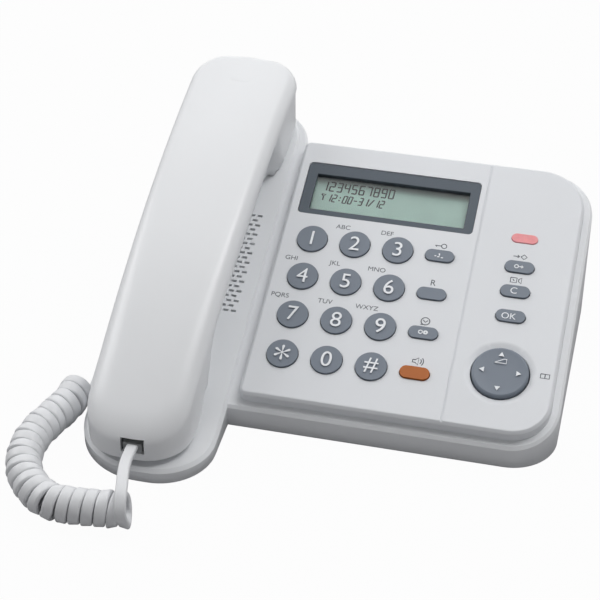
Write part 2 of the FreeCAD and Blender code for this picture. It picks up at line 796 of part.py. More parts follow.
def loudspeaker():
    """Flange, basket, cup and magnet, turned about the speaker's axis."""
    top = DECK - SKIN
    points = [(0, -4.0), (8.0, -4.0), (18.0, 0.0), (20.5, 0.0), (20.5, -2.4), (11.5, -8.0), (11.5, -12.5),
              (0, -12.5)]
    wire = Part.makePolygon([Vector(r, 0, w) for r, w in points] + [Vector(0, 0, points[0][1])])
    turned = Part.Face(wire).revolve(Vector(0, 0, 0), Vector(0, 0, 1), 360)
    return placed(turned, Placement(Vector(SPEAKER_U, SPEAKER_V, top), Rotation()))


def hook_plunger():
    """Bar that the ear end holds down, with a stop flange under the deck."""
    half_u, half_v = size("hook_width") / 2, size("hook_depth") / 2
    stem = bar(-half_u, half_u, -half_v, half_v, HOOK_LOW, HOOK_TOP)
    rim = edges_where(stem, lambda edge: edge.BoundBox.ZMin > HOOK_TOP - 0.01)
    stem = stem.makeFillet(0.8, rim)
    flange = bar(-half_u - 1.2, half_u + 1.2, -half_v - 0.8, half_v + 0.8, HOOK_FLANGE - 1.2, HOOK_FLANGE)
    return placed(stem.fuse(flange).removeSplitter(), Placement(Vector(HAND_U, size("hook_v"), 0), Rotation()))


def hook_switch():
    """Switch between the two ribs under the deck, just below the plunger."""
    half = HOOK_SWITCH_WIDE / 2
    block = bar(-half, half, -3.2, 3.2, HOOK_SWITCH_LOW + 0.5, HOOK_LOW - 2.0)
    button = bar(-1.5, 1.5, -1.2, 1.2, HOOK_LOW - 2.0, HOOK_LOW - 0.3)
    return placed(block.fuse(button), Placement(Vector(HAND_U, size("hook_v"), 0), Rotation()))


# Handset

ARCH = size("hand_arch")
CROWN = size("hand_crown")
GRIP = size("grip_under")
HAND_GAP = size("hand_rest_gap")


def arch_centre():
    y, z = from_slope(size("hand_middle"), size("hand_top") - ARCH)
    return Vector(size("hand_x"), y, z)


def hand_outline(inset):
    """The handset's outline from above, as a tall block."""
    front, back = size("mouth_front_y") + inset, size("hand_back_y") - inset
    mouth, ear = size("hand_half_mouth") - inset, size("hand_half_ear") - inset
    mouth_x, ear_x = size("hand_x") - size("hand_lean"), size("hand_x") + size("hand_lean")
    return plan_prism([
        (mouth_x - mouth, front, size("hand_round_mouth") - inset),
        (mouth_x + mouth, front, size("hand_round_mouth") - inset),
        (ear_x + ear, back, size("hand_round_ear") - inset),
        (ear_x - ear, back, size("hand_round_ear") - inset),
    ], 0, BIG / 2)


def hand_form(inset):
    """The closed handset, or its hollow when drawn in by the wall."""
    front, x = size("mouth_front_y") + inset, size("hand_x")
    rest = size("deck_front_height") + HAND_GAP + inset
    sole = DECK + HAND_GAP + inset
    knee = deck_bend_y() - (HAND_GAP + inset) * math.tan(TILT / 2)
    mouth_rear = to_slope(size("mouth_rear_y"), slope_height(sole, size("mouth_rear_y")))[0] - inset
    grip = GRIP + inset
    ear_front = size("ear_front") + inset
    corners = [
        (front - 5, rest, 0),
        (knee, rest, size("deck_bend") - HAND_GAP - inset),
        from_slope(mouth_rear, sole) + (1.0,),
        from_slope(mouth_rear + 11.0, grip) + (14.0 + inset,),
        from_slope(ear_front - 5.0, grip) + (9.0 + inset,),
        from_slope(ear_front, sole) + (1.0,),
        from_slope(BIG / 2, sole) + (0,),
        from_slope(BIG / 2, BIG / 2) + (0,),
        (front - 5, BIG / 2, 0),
    ]
    half = size("hand_half_ear") + 5
    profile = side_prism(corners, x - half, x + half)
    return hand_outline(inset).common(profile).common(crown_block(inset))


def crown_block(inset):
    """Everything under the arched, crowned top: a turned slice of a ring."""
    reach, half = CROWN - inset, size("hand_half_ear") + 8.0
    centre = arch_centre()
    middle = centre + Vector(0, 0, ARCH - CROWN)
    rise = math.sqrt(reach * reach - half * half)
    left, right = middle + Vector(-half, 0, rise), middle + Vector(half, 0, rise)
    drop = Vector(0, 0, -120.0)
    wire = Part.Wire([
        Part.Arc(left, middle + Vector(0, 0, reach), right).toShape(),
        Part.makeLine(right, right + drop),
        Part.makeLine(right + drop, left + drop),
        Part.makeLine(left + drop, left),
    ])
    face = Part.Face(wire)
    face.rotate(centre, Vector(1, 0, 0), -20)
    return face.revolve(centre, Vector(1, 0, 0), 60)


def on_crown(point):
    """Distance of a point from the arched top of the closed handset."""
    offset = point - arch_centre()
    reach = math.hypot(offset.y, offset.z) - (ARCH - CROWN)
    return abs(math.hypot(reach, offset.x) - CROWN)


def hand_outer():
    """The closed handset with its rounded top and sole edges."""
    form = hand_form(0.0)
    form = form.makeFillet(size("hand_edge"), edges_where(form, lambda edge: all_along(edge, on_crown)))
    sole = edges_where(form, lambda edge: all_along(edge, off_sole) and not crosses_handset(edge))
    return form.makeChamfer(size("hand_sole_edge"), sole)


def all_along(edge, distance):
    span = edge.LastParameter - edge.FirstParameter
    places = [edge.valueAt(edge.FirstParameter + share * span) for share in (0.0, 0.25, 0.5, 0.75, 1.0)]
    return all(distance(place) < 0.02 for place in places)


def off_sole(point):
    """Distance of a point from the resting faces of the closed handset."""
    w = to_slope(point.y, point.z)[1]
    return min(abs(w - DECK - HAND_GAP), abs(point.z - size("deck_front_height") - HAND_GAP))


def crosses_handset(edge):
    box = edge.BoundBox
    middle = (box.YMin + box.YMax) / 2
    inner = size("mouth_front_y") + 5 < middle < size("hand_back_y") - 5
    return inner and box.YLength < 0.1


def seam_block(drop):
    """Everything below the seam, which follows the arch."""
    centre = arch_centre() - Vector(BIG / 2, 0, 0)
    return Part.makeCylinder(ARCH - size("hand_seam") - drop, BIG, centre, Vector(1, 0, 0))


SEAM_LAP = 1.6
SEAM_SLIP = 0.1
HAND_WALL = size("hand_wall")
RECEIVER_V = 84.0
RECEIVER_RADIUS = 15.0
RECEIVER_THICK = 7.0
MICROPHONE_Y = -70.5
MICROPHONE_RADIUS = 4.85
MICROPHONE_THICK = 5.0
MICROPHONE_LIFT = 1.0


def hand_jack_cut(grow):
    """Room for the socket and its mouth in the handset's lower end."""
    x, z = size("hand_jack_x"), size("hand_jack_z")
    half, tall = PLUG_MOUTH / 2 + grow, PLUG_TALL / 2 + grow
    front = size("mouth_front_y")
    return bar(x - half, x + half, front - 5, front + HAND_WALL + 1, z - tall, z + tall)


def seam_lip():
    """Rib on the outer shell's walls that laps behind the inner shell."""
    inner = hand_outline(HAND_WALL + SEAM_SLIP + 1.1)
    lap = hand_outline(HAND_WALL + SEAM_SLIP).cut(inner).common(seam_block(0.0)).cut(seam_block(SEAM_LAP))
    lap = lap.common(hand_form(HAND_WALL + SEAM_SLIP))
    root = hand_outline(HAND_WALL - 0.8).cut(inner).common(seam_block(-1.5)).cut(seam_block(0.0))
    x, z, back = size("hand_jack_x"), size("hand_jack_z"), size("mouth_front_y") + HAND_WALL
    half = JACK_WIDE / 2 + 0.4
    room = bar(x - half, x + half, back, back + 20, z - 20, z + 20)
    return lap.fuse(root).cut([room, hand_jack_cut(0.3)]).common(hand_form(HAND_WALL - 0.8))


def handset_back_shell():
    """Outer shell: the arched top and the upper half of the sides."""
    shell = hand_outer().cut([hand_form(HAND_WALL), seam_block(0.0), hand_jack_cut(0.3)])
    return shell.fuse(seam_lip()).removeSplitter()


def handset_front_shell():
    """Inner shell with the ear cup, the grip's underside and the mouth cup."""
    shell = hand_outer().common(seam_block(0.0)).cut([hand_form(HAND_WALL), hand_jack_cut(0.3)])
    return shell.cut(ear_slots() + mouth_slots())


def ear_slots():
    """Slots in a round patch under the receiver."""
    cuts = []
    for row in range(-3, 4):
        half = math.sqrt(8.0 ** 2 - (row * 2.4) ** 2)
        slot = bar(HAND_U - half, HAND_U + half, RECEIVER_V + row * 2.4 - 0.6, RECEIVER_V + row * 2.4 + 0.6,
                   DECK - 1, DECK + HAND_GAP + HAND_WALL + 1)
        cuts.append(in_panel(slot))
    return cuts


def mouth_slots():
    low = size("deck_front_height")
    x = size("hand_x")
    return [
        bar(x + row * 2.4 - 0.6, x + row * 2.4 + 0.6, MICROPHONE_Y - 3.5, MICROPHONE_Y + 3.5, low - 1,
            low + HAND_GAP + HAND_WALL + 1)
        for row in (-1, 0, 1)
    ]


def handset_jack():
    """Socket behind the lower end wall, its mouth to the front."""
    box = jack_box(PLUG_MOUTH, PLUG_TALL, size("jack_length"))
    place = Vector(size("hand_jack_x"), size("mouth_front_y") + HAND_WALL + 0.4, size("hand_jack_z"))
    return placed(box, Placement(place, Rotation(Vector(0, 0, 1), 90)))


# Cord

STRAND = size("strand")
PLUG_SINK = 0.8


def plug():
    """Four-way plug, its cord end at x = 0 and its nose at +x, latch on top."""
    length, width, height = size("plug_length"), size("plug_width"), size("plug_height")
    body = bar(0, length, -width / 2, width / 2, -height / 2, height / 2 - 1.6)
    latch = bar(2.2, length - 1.2, -1.6, 1.6, height / 2 - 1.6, height / 2)
    gap = bar(1.0, length - 3.4, -2.0, 2.0, height / 2 - 1.6, height / 2 - 0.8)
    slots = [bar(length - 4.5, length + 1, offset - 0.25, offset + 0.25, -height / 2 - 1, -height / 2 + 0.9)
             for offset in (-1.53, -0.51, 0.51, 1.53)]
    nose = body.fuse(latch).cut([gap] + slots)
    return nose


def plug_handset():
    place = Vector(size("hand_jack_x"), size("mouth_front_y") + 0.5, size("hand_jack_z"))
    return placed(plug(), Placement(place, Rotation(Vector(0, 0, 1), 90)))


def plug_base():
    place = Vector(size("column_left") + PLUG_SINK, size("base_jack_y"), size("base_jack_z"))
    return placed(plug(), Placement(place, Rotation()))


def run_arcs(points):
    """Straight runs through the points with an arc at each turn, as edges and radii."""
    count = len(points)
    edges, radii = [], []
    last = points[0]
    for index in range(1, count - 1):
        here = points[index]
        back, ahead = points[index - 1] - here, points[index + 1] - here
        shorter = min(back.Length, ahead.Length)
        back, ahead = back.normalize(), ahead.normalize()
        half = back.getAngle(ahead) / 2.0
        reach = 0.45 * shorter
        radius = reach * math.tan(half)
        bisector = (back + ahead).normalize()
        centre = here + bisector * (radius / math.sin(half))
        start, stop = here + back * reach, here + ahead * reach
        edges.append(Part.makeLine(last, start))
        edges.append(Part.Arc(start, centre - bisector * radius, stop).toShape())
        radii.append(round(radius, 1))
        last = stop
    edges.append(Part.makeLine(last, points[-1]))
    return edges, radii


def strand_section(place, direction, side):
    """Six-sided section of the strand, square to its direction."""
    across = direction.cross(side).normalize()
    up = across.cross(direction).normalize()
    corners = []
    for index in range(6):
        angle = index * math.pi / 3
        corners.append(place + across * (STRAND / 2 * math.cos(angle)) + up * (STRAND / 2 * math.sin(angle)))
    return Part.makePolygon(corners + [corners[0]])


def strand_tube(name, edges, direction, side):
    """Strand along the edges, checked against its section times its length."""
    path = Part.Wire(edges)
    section = strand_section(path.OrderedVertexes[0].Point, direction, side)
    tube = path.makePipeShell([section], True, False)
    expected = Part.Face(section).Area * path.Length
    print(name, "length", round(path.Length, 1), "volume over section times length",
          round(tube.Volume / expected, 4))
    return tube


COIL_ROUTE = [
    Vector(-60.0, -119.2, 0), Vector(-75.0, -120.6, 0), Vector(-91.2, -120.7, 0), Vector(-103.4, -113.6, 0),
    Vector(-110.8, -101.4, 0), Vector(-110.6, -84.0, 0), Vector(-105.2, -66.0, 0), Vector(-105.2, -46.0, 0),
]


def coil_axis():
    """Centre line of the coil on the floor."""
    lift = Vector(0, 0, size("coil_height"))
    edges, radii = run_arcs([place + lift for place in COIL_ROUTE])
    print("coil axis radii", radii)
    return Part.Wire(edges)


def coil_points(count_per_turn):
    """Places and directions of the strand, from the coil's top to the side next to the case."""
    spans = []
    length = 0.0
    for edge in coil_axis().OrderedEdges:
        spans.append((length, edge))
        length += edge.Length
    turns = round(length / size("coil_pitch") - 0.75) + 0.75
    print("coil length", round(length, 1), "turns", turns, "pitch", round(length / turns, 3))

    def on_axis(distance):
        distance = min(max(distance, 0.0), length - 1e-6)
        begin, edge = [span for span in spans if span[0] <= distance][-1]
        parameter = edge.getParameterByLength(min(distance - begin, edge.Length))
        return edge.valueAt(parameter), edge.tangentAt(parameter)

    def on_strand(turn):
        place, ahead = on_axis(length * turn / turns)
        level = Vector(0, 0, 1).cross(ahead).normalize()
        angle = 2 * math.pi * (turn - 0.25)
        lean = level * math.cos(angle) - Vector(0, 0, 1) * math.sin(angle)
        return place + lean * size("coil_radius")

    found = []
    step = 0.001
    stops = [index / count_per_turn for index in range(math.floor(turns * count_per_turn) + 1)]
    for turn in stops + [turns]:
        low, high = max(turn - step, 0.0), min(turn + step, turns)
        found.append((on_strand(turn), (on_strand(high) - on_strand(low)).normalize()))
    return found


def corner_arc(start, corner, stop):
    """Arc that leaves start towards corner and reaches stop."""
    back, ahead = (start - corner).normalize(), (stop - corner).normalize()
    half = back.getAngle(ahead) / 2.0
    reach = (start - corner).Length
    radius = reach * math.tan(half)
    bisector = (back + ahead).normalize()
    centre = corner + bisector * (radius / math.sin(half))
    return Part.Arc(start, centre - bisector * radius, stop).toShape(), radius


def biarc(start, start_way, stop, stop_way):
    """Two arcs from one place and direction to the next."""
    chord, ways = stop - start, start_way + stop_way
    share = 2 * (1 - start_way.dot(stop_way))
    reach = (-chord.dot(ways) + math.sqrt(chord.dot(ways) ** 2 + share * chord.dot(chord))) / share
    first, second = start + start_way * reach, stop - stop_way * reach
    middle = (first + second) * 0.5
    one, radius_one = corner_arc(start, first, middle)
    two, radius_two = corner_arc(middle, second, stop)
    return [one, two], min(radius_one, radius_two)


def coil_edges():
    """The coiled strand with a straight diameter at each end."""
    found = coil_points(2)
    edges, radii = [], []
    for (start, start_way), (stop, stop_way) in zip(found[:-1], found[1:]):
        arcs, radius = biarc(start, start_way, stop, stop_way)
        edges += arcs
        radii.append(radius)
    first, last = found[0], found[-1]
    entry, leave = first[0] - first[1] * STRAND, last[0] + last[1] * STRAND
    edges = [Part.makeLine(entry, first[0])] + edges + [Part.makeLine(last[0], leave)]
    print("coil arc radius at least", round(min(radii), 2))
    return edges, (entry, first[1]), (leave, last[1])


def least_gap(edges):
    """Least distance between the strand's surface and itself, a half turn or more along."""
    places = []
    for edge in edges:
        count = max(2, int(edge.Length))
        places += edge.discretize(count + 1)[:-1]
    turn = 2 * math.pi * size("coil_radius")
    skip = int(turn / 2)
    closest = BIG
    for index, here in enumerate(places):
        for other in places[index + skip:index + skip + int(2.2 * turn)]:
            closest = min(closest, here.distanceToPoint(other))
    return closest - STRAND


def cord_nodes():
    """Three lengths of one strand: the handset's lead, the coil and the lead to the base."""
    edges, (entry, entry_way), (leave, leave_way) = coil_edges()
    print("coil least gap to itself", round(least_gap(edges), 2))
    up = Vector(0, 0, 1)
    coil = strand_tube("cord_coil", edges, entry_way, up)
    start = Vector(size("hand_jack_x"), size("mouth_front_y") + 0.5, size("hand_jack_z"))
    down = start - Vector(0, 8.1, 0)
    lead = [start, down, entry - entry_way * 9.6, entry]
    edges, radii = run_arcs(lead)
    print("cord_tail_handset radii", radii)
    tail_handset = strand_tube("cord_tail_handset", edges, Vector(0, -1, 0), up)
    stop = Vector(size("column_left") + PLUG_SINK, size("base_jack_y"), size("base_jack_z"))
    out, along, low = leave.x, leave.y, stop.z
    lead = [
        leave, leave + leave_way * 1.9, Vector(out, along + 1.8, low + 5.9), Vector(out, along + 4.3, low + 6.5),
        Vector(out, along + 8.7, low + 5.0), Vector(out, stop.y - 4.8, low + 0.6),
        Vector(out, stop.y - 2.1, low), Vector(out + 2.1, stop.y, low), stop,
    ]
    print("coil ends at", leave, "heading", leave_way)
    edges, radii = run_arcs(lead)
    print("cord_tail_base radii", radii)
    tail_base = strand_tube("cord_tail_base", edges, leave_way, up)
    return tail_handset, coil, tail_base


# Document objects whose sizes follow the sheet

def primitive(kind, name, sizes, placement):
    """Part primitive with each size bound to an expression."""
    item = doc.addObject(kind, name)
    item.Label = name
    for field, expression in sizes.items():
        item.setExpression(field, expression)
    item.Placement = placement
    return item


def joined(kind, name, parts):
    """Fuse or compound of other objects under one name."""
    item = doc.addObject(kind, name)
    item.Label = name
    if kind == "Part::Compound":
        item.Links = parts
    else:
        item.Shapes = parts
    return item


def at(x, y, z):
    return Placement(Vector(x, y, z), Rotation())


def new_body(name):
    body = doc.addObject("PartDesign::Body", name)
    body.Label = name
    return body


def new_sketch(body, name, height):
    """Sketch parallel to the body's level plane, at a height given by an expression."""
    sketch = body.newObject("Sketcher::SketchObject", name)
    plane = [item for item in body.Origin.OriginFeatures if item.Role == "XY_Plane"][0]
    sketch.AttachmentSupport = (plane, [""])
    sketch.MapMode = "FlatFace"
    sketch.setExpression("AttachmentOffset.Base.z", height)
    return sketch


def constrain(sketch, kind, places, label, value, expression):
    index = sketch.addConstraint(Sketcher.Constraint(kind, *places, value))
    sketch.renameConstraint(index, label)
    sketch.setExpression("Constraints." + label, expression)


def draw_circle(sketch, radius):
    sketch.addGeometry(Part.Circle(Vector(0, 0, 0), Vector(0, 0, 1), 5.0), False)
    sketch.addConstraint(Sketcher.Constraint("Coincident", 0, 3, -1, 1))
    constrain(sketch, "Radius", (0,), "radius", 5.0, radius)


def draw_rectangle(sketch, across, deep):
    """Rectangle centred on the body's origin."""
    corners = [Vector(-4, -3, 0), Vector(4, -3, 0), Vector(4, 3, 0), Vector(-4, 3, 0)]
    for index in range(4):
        sketch.addGeometry(Part.LineSegment(corners[index], corners[(index + 1) % 4]), False)
    for index in range(4):
        sketch.addConstraint(Sketcher.Constraint("Coincident", index, 2, (index + 1) % 4, 1))
    for index, kind in enumerate(("Horizontal", "Vertical", "Horizontal", "Vertical")):
        sketch.addConstraint(Sketcher.Constraint(kind, index))
    sketch.addConstraint(Sketcher.Constraint("Symmetric", 0, 1, 1, 2, -1, 1))
    constrain(sketch, "DistanceX", (0, 1, 0, 2), "across", 8.0, across)
    constrain(sketch, "DistanceY", (1, 1, 1, 2), "deep", 6.0, deep)


def draw_pill(sketch, length, width):
    """Half-round ended bar centred on the body's origin."""
    quarter = math.pi / 2
    upright = Vector(0, 0, 1)
    right = Part.ArcOfCircle(Part.Circle(Vector(4, 0, 0), upright, 2.0), -quarter, quarter)
    left = Part.ArcOfCircle(Part.Circle(Vector(-4, 0, 0), upright, 2.0), quarter, 3 * quarter)
    sketch.addGeometry(Part.LineSegment(Vector(-4, 2, 0), Vector(4, 2, 0)), False)
    sketch.addGeometry(right, False)
    sketch.addGeometry(Part.LineSegment(Vector(-4, -2, 0), Vector(4, -2, 0)), False)
    sketch.addGeometry(left, False)
    for one, one_end, two, two_end in ((0, 2, 1, 2), (2, 2, 1, 1), (0, 1, 3, 1), (2, 1, 3, 2)):
        sketch.addConstraint(Sketcher.Constraint("Tangent", one, one_end, two, two_end))
    sketch.addConstraint(Sketcher.Constraint("Horizontal", 0))
    sketch.addConstraint(Sketcher.Constraint("Symmetric", 1, 3, 3, 3, -1, 1))
    constrain(sketch, "Radius", (1,), "round_end", 2.0, "(%s) / 2" % width)
    constrain(sketch, "DistanceX", (3, 3, 1, 3), "between", 8.0, "%s - (%s)" % (length, width))


def pad_sketch(body, sketch, name, length):
    pad = body.newObject("PartDesign::Pad", name)
    pad.Profile = sketch
    pad.setExpression("Length", length)
    sketch.Visibility = False
    return pad


def bevel_top(body, pad, name, amount):
    """Chamfer round the highest face of a pad."""
    doc.recompute()
    top = pad.Shape.BoundBox.ZMax
    rim = ["Edge%d" % (index + 1) for index, edge in enumerate(pad.Shape.Edges)
           if edge.BoundBox.ZMin > top - 0.01]
    chamfer = body.newObject("PartDesign::Chamfer", name)
    chamfer.Base = (pad, rim)
    chamfer.setExpression("Size", amount)
    return chamfer


KEY_TOP = "Sizes.key_proud"
KEY_FLANGE_TOP = "-Sizes.panel_skin - Sizes.flange_gap"
KEY_FLANGE_LOW = KEY_FLANGE_TOP + " - Sizes.key_flange"


def key_body(name, draw, across, deep, placement):
    """Key: a square flange below the panel and a bevelled cap through it."""
    body = new_body(name)
    flange = new_sketch(body, name + "_flange_outline", KEY_FLANGE_LOW)
    draw_rectangle(flange, across + " + 2 * Sizes.key_flange_out", deep + " + 2 * Sizes.key_flange_out")
    pad_sketch(body, flange, name + "_flange", "Sizes.key_flange")
    cap = new_sketch(body, name + "_cap_outline", KEY_FLANGE_TOP)
    draw(cap)
    pad = pad_sketch(body, cap, name + "_cap", KEY_TOP + " - (" + KEY_FLANGE_TOP + ")")
    bevel_top(body, pad, name + "_bevel", "Sizes.key_chamfer")
    body.Placement = placement
    nodes[name] = body


def round_key(name, u, v):
    width = "2 * Sizes.dial_radius"
    key_body(name, lambda sketch: draw_circle(sketch, "Sizes.dial_radius"), width, width, on_panel(u, v, 0))


def long_key(name, u, v):
    length, width = "Sizes.pill_length", "Sizes.pill_width"
    key_body(name, lambda sketch: draw_pill(sketch, length, width), length, width, on_panel(u, v, 0))


def window_sheet(name, thick, top):
    """Flat pane as large as the frame's rebate."""
    half_u, half_v = size("window_length") / 2 + WINDOW_LIP - 0.1, size("window_width") / 2 + WINDOW_LIP - 0.1
    sizes = {
        "Length": "Sizes.window_length + %g" % (2 * (WINDOW_LIP - 0.1)),
        "Width": "Sizes.window_width + %g" % (2 * (WINDOW_LIP - 0.1)),
        "Height": "Sizes." + thick,
    }
    place = on_panel(size("window_x") - half_u, size("window_v") - half_v, top - size(thick))
    nodes[name] = primitive("Part::Box", name, sizes, place)


def build_panel_pieces():
    names = ["1", "2", "3", "4", "5", "6", "7", "8", "9", "star", "0", "hash"]
    for index, label in enumerate(names):
        round_key("dial_key_" + label, DIAL_COLUMNS[index % 3], DIAL_ROWS[index // 3])
    for label, v in zip(("program_key", "recall_key", "redial_key", "speaker_key"), DIAL_ROWS):
        long_key(label, size("function_x"), v)
    for label, v in zip(("menu_key_arrow", "menu_key_clear", "menu_key_ok"), MENU_ROWS):
        long_key(label, size("menu_x"), v)
    feature("key_panel", key_panel(), PANEL)
    feature("display_bezel", display_bezel(), PANEL)
    window_sheet("display_window", "window_thick", WINDOW_TOP)
    window_sheet("lcd_glass", "lcd_thick", BEZEL_LOW)
    feature("lcd_holder", lcd_holder(), PANEL)
    disc = on_panel(size("menu_x"), size("disc_v"), 0)
    feature("navigation_disc", navigation_disc(), disc)
    feature("navigation_pivot", navigation_pivot(), disc)
    lamp = on_panel(size("menu_x"), size("lamp_v"), 0)
    feature("lamp_lens", lamp_lens(), lamp)
    led = {"Length": "3.2", "Width": "2.4", "Height": "%g" % (FLANGE_TOP - 1.0 - BOARD_TOP)}
    nodes["lamp_led"] = primitive("Part::Box", "lamp_led", led,
                                  on_panel(size("menu_x") - 1.6, size("lamp_v") - 1.2, BOARD_TOP))
    feature("rubber_mat", rubber_mat(), PANEL)
    board = {
        "Length": "%g" % (BOARD_RIGHT - BOARD_LEFT), "Width": "%g" % (BOARD_BACK - BOARD_FRONT),
        "Height": "Sizes.board_thick",
    }
    nodes["key_board"] = primitive("Part::Box", "key_board", board,
                                   on_panel(BOARD_LEFT, BOARD_FRONT, BOARD_LOW))


def build_case():
    feature("upper_case", upper_case())
    feature("lower_case", lower_case())
    feature("case_screws", case_screws())
    feature("battery_cover", battery_cover())
    feature("battery_cells", battery_cells())
    feature("battery_contacts", battery_contacts())
    pads = []
    for index, (x, y) in enumerate(FOOT_PLACES):
        sizes = {
            "Length": "Sizes.foot_length", "Width": "Sizes.foot_width",
            "Height": "Sizes.floor_bottom + Sizes.foot_sink",
        }
        place = at(x - size("foot_length") / 2, y - size("foot_width") / 2, 0)
        pads.append(primitive("Part::Box", "foot_%d" % (index + 1), sizes, place))
    nodes["rubber_feet"] = joined("Part::Compound", "rubber_feet", pads)
    board = {
        "Length": "%g" % (MAIN_RIGHT - MAIN_LEFT), "Width": "%g" % (MAIN_BACK - MAIN_FRONT),
        "Height": "Sizes.board_thick",
    }
    nodes["main_board"] = primitive("Part::Box", "main_board", board,
                                    at(MAIN_LEFT, MAIN_FRONT, MAIN_TOP - MAIN_THICK))
    feature("line_jack", line_jack())
    feature("base_jack", base_jack())
    feature("loudspeaker", loudspeaker(), PANEL)
    feature("hook_plunger", hook_plunger(), PANEL)
    feature("hook_switch", hook_switch(), PANEL)


def build_handset():
    feature("handset_back_shell", handset_back_shell())
    feature("handset_front_shell", handset_front_shell())
    feature("handset_jack", handset_jack())
    low = DECK + HAND_GAP + HAND_WALL
    cup = {"Radius": "%g" % RECEIVER_RADIUS, "Height": "%g" % (RECEIVER_THICK - 2)}
    magnet = {"Radius": "%g" % (RECEIVER_RADIUS - 5), "Height": "2"}
    pair = [
        primitive("Part::Cylinder", "receiver_cup", cup, on_panel(HAND_U, RECEIVER_V, low)),
        primitive("Part::Cylinder", "receiver_magnet", magnet,
                  on_panel(HAND_U, RECEIVER_V, low + RECEIVER_THICK - 2)),
    ]
    nodes["receiver"] = joined("Part::MultiFuse", "receiver", pair)
    capsule = {"Radius": "%g" % MICROPHONE_RADIUS, "Height": "%g" % MICROPHONE_THICK}
    low = size("deck_front_height") + HAND_GAP + HAND_WALL + MICROPHONE_LIFT
    nodes["microphone"] = primitive("Part::Cylinder", "microphone", capsule,
                                    at(size("hand_x"), MICROPHONE_Y, low))
    steel = {"Length": "20", "Width": "60", "Height": "4"}
    nodes["handset_weight"] = primitive("Part::Box", "handset_weight", steel,
                                        on_panel(HAND_U - 10, -22.0, GRIP + HAND_WALL))
    feature("plug_handset", plug_handset())
    feature("plug_base", plug_base())


def build_cord():
    for name, shape in zip(("cord_tail_handset", "cord_coil", "cord_tail_base"), cord_nodes()):
        feature(name, shape)


def write_parts():
    """Checks every object, then writes one file for each node."""
    doc.recompute()
    for item in doc.Objects:
        if "Invalid" in item.State or "Error" in item.State:
            raise RuntimeError("%s is %s" % (item.Name, item.State))
    for name, item in nodes.items():
        if item.Shape.isNull() or not item.Shape.isValid():
            raise RuntimeError("%s has no sound shape" % name)
    os.makedirs("parts", exist_ok=True)
    for name, item in nodes.items():
        item.Shape.exportStep("parts/%s.step" % name)
    print(len(nodes), "nodes written")


build_panel_pieces()
build_case()
build_handset()
build_cord()
write_parts()
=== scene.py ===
# %% [markdown]
# # A corded desk telephone, dressed for the camera
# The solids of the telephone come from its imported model. This lesson puts the camera where the
# photographer stood, lays the curly cord, gives every solid a finish, and then models what the eye
# looks at first: the handset, the keys with their numbers, the display and the small print.

# %% Load the telephone
import bmesh
import bpy
import json
import math
from mathutils import Matrix, Vector

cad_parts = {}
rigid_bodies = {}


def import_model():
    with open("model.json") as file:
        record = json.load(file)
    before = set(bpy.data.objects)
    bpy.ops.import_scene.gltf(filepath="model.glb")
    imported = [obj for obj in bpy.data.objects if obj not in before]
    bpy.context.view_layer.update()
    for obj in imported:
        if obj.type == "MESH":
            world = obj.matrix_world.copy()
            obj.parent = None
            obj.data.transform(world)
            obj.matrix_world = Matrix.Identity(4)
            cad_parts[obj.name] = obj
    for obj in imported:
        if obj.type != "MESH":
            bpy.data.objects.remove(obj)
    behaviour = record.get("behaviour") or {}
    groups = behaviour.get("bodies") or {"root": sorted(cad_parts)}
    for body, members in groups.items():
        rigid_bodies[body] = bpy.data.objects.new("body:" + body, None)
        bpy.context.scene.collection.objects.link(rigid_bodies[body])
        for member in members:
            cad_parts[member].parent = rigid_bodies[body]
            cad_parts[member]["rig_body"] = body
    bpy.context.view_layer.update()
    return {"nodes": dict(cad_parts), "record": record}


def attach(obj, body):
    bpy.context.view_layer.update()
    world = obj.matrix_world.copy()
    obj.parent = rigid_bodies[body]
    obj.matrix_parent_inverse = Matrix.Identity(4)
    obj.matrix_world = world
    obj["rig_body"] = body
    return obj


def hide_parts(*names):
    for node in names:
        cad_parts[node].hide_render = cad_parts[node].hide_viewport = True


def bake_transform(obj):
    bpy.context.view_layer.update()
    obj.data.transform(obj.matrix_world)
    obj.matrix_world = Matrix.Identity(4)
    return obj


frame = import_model()
nodes = frame["nodes"]

# %% [markdown]
# Everything on the telephone is easiest to think of in millimetres, and most of it sits on the
# sloping key panel. Small helpers turn millimetres, plain or measured on the slope, into the scene's
# metres. On the slope, u runs to the right, v up the slope and w out of its face. Two more helpers
# are for objects: one adds an object to the scene, and one makes it the only one selected.

# %% Helpers for places and objects
MM = 0.001
TILT = math.radians(20.0)
PANEL_X, PANEL_Y, PANEL_Z = -1.8, -4.0, 34.25
PANEL_ORIGIN = Vector((PANEL_X, PANEL_Y, PANEL_Z)) * MM
PANEL_TURN = Matrix.Rotation(TILT, 4, "X")
PANEL = Matrix.Translation(PANEL_ORIGIN) @ PANEL_TURN
DECK_W = -4.8


def mm(x, y, z):
    """A place in millimetres, as a vector in metres."""
    return Vector((x, y, z)) * MM


def on_panel(u, v, w):
    """A place measured on the key panel, in metres."""
    return PANEL @ mm(u, v, w)


def slope_height(w, y):
    """Height in millimetres, above y, of a plane that lies w off the panel's face."""
    return PANEL_Z + w / math.cos(TILT) + (y - PANEL_Y) * math.tan(TILT)


def add_object(name, data):
    """A new object in the scene that holds this data."""
    piece = bpy.data.objects.new(name, data)
    bpy.context.scene.collection.objects.link(piece)
    return piece


def deselect():
    bpy.ops.object.select_all(action="DESELECT")


def choose(piece):
    """Makes a piece the only one selected, and the active one."""
    deselect()
    bpy.context.view_layer.objects.active = piece
    piece.select_set(True)


print("the key panel slopes by", round(math.degrees(TILT), 1), "degrees")

# %% [markdown]
# The camera stands 37 degrees above the table and 13 degrees to the right of the telephone, rather
# far away with a long lens, so that the edges hardly converge.

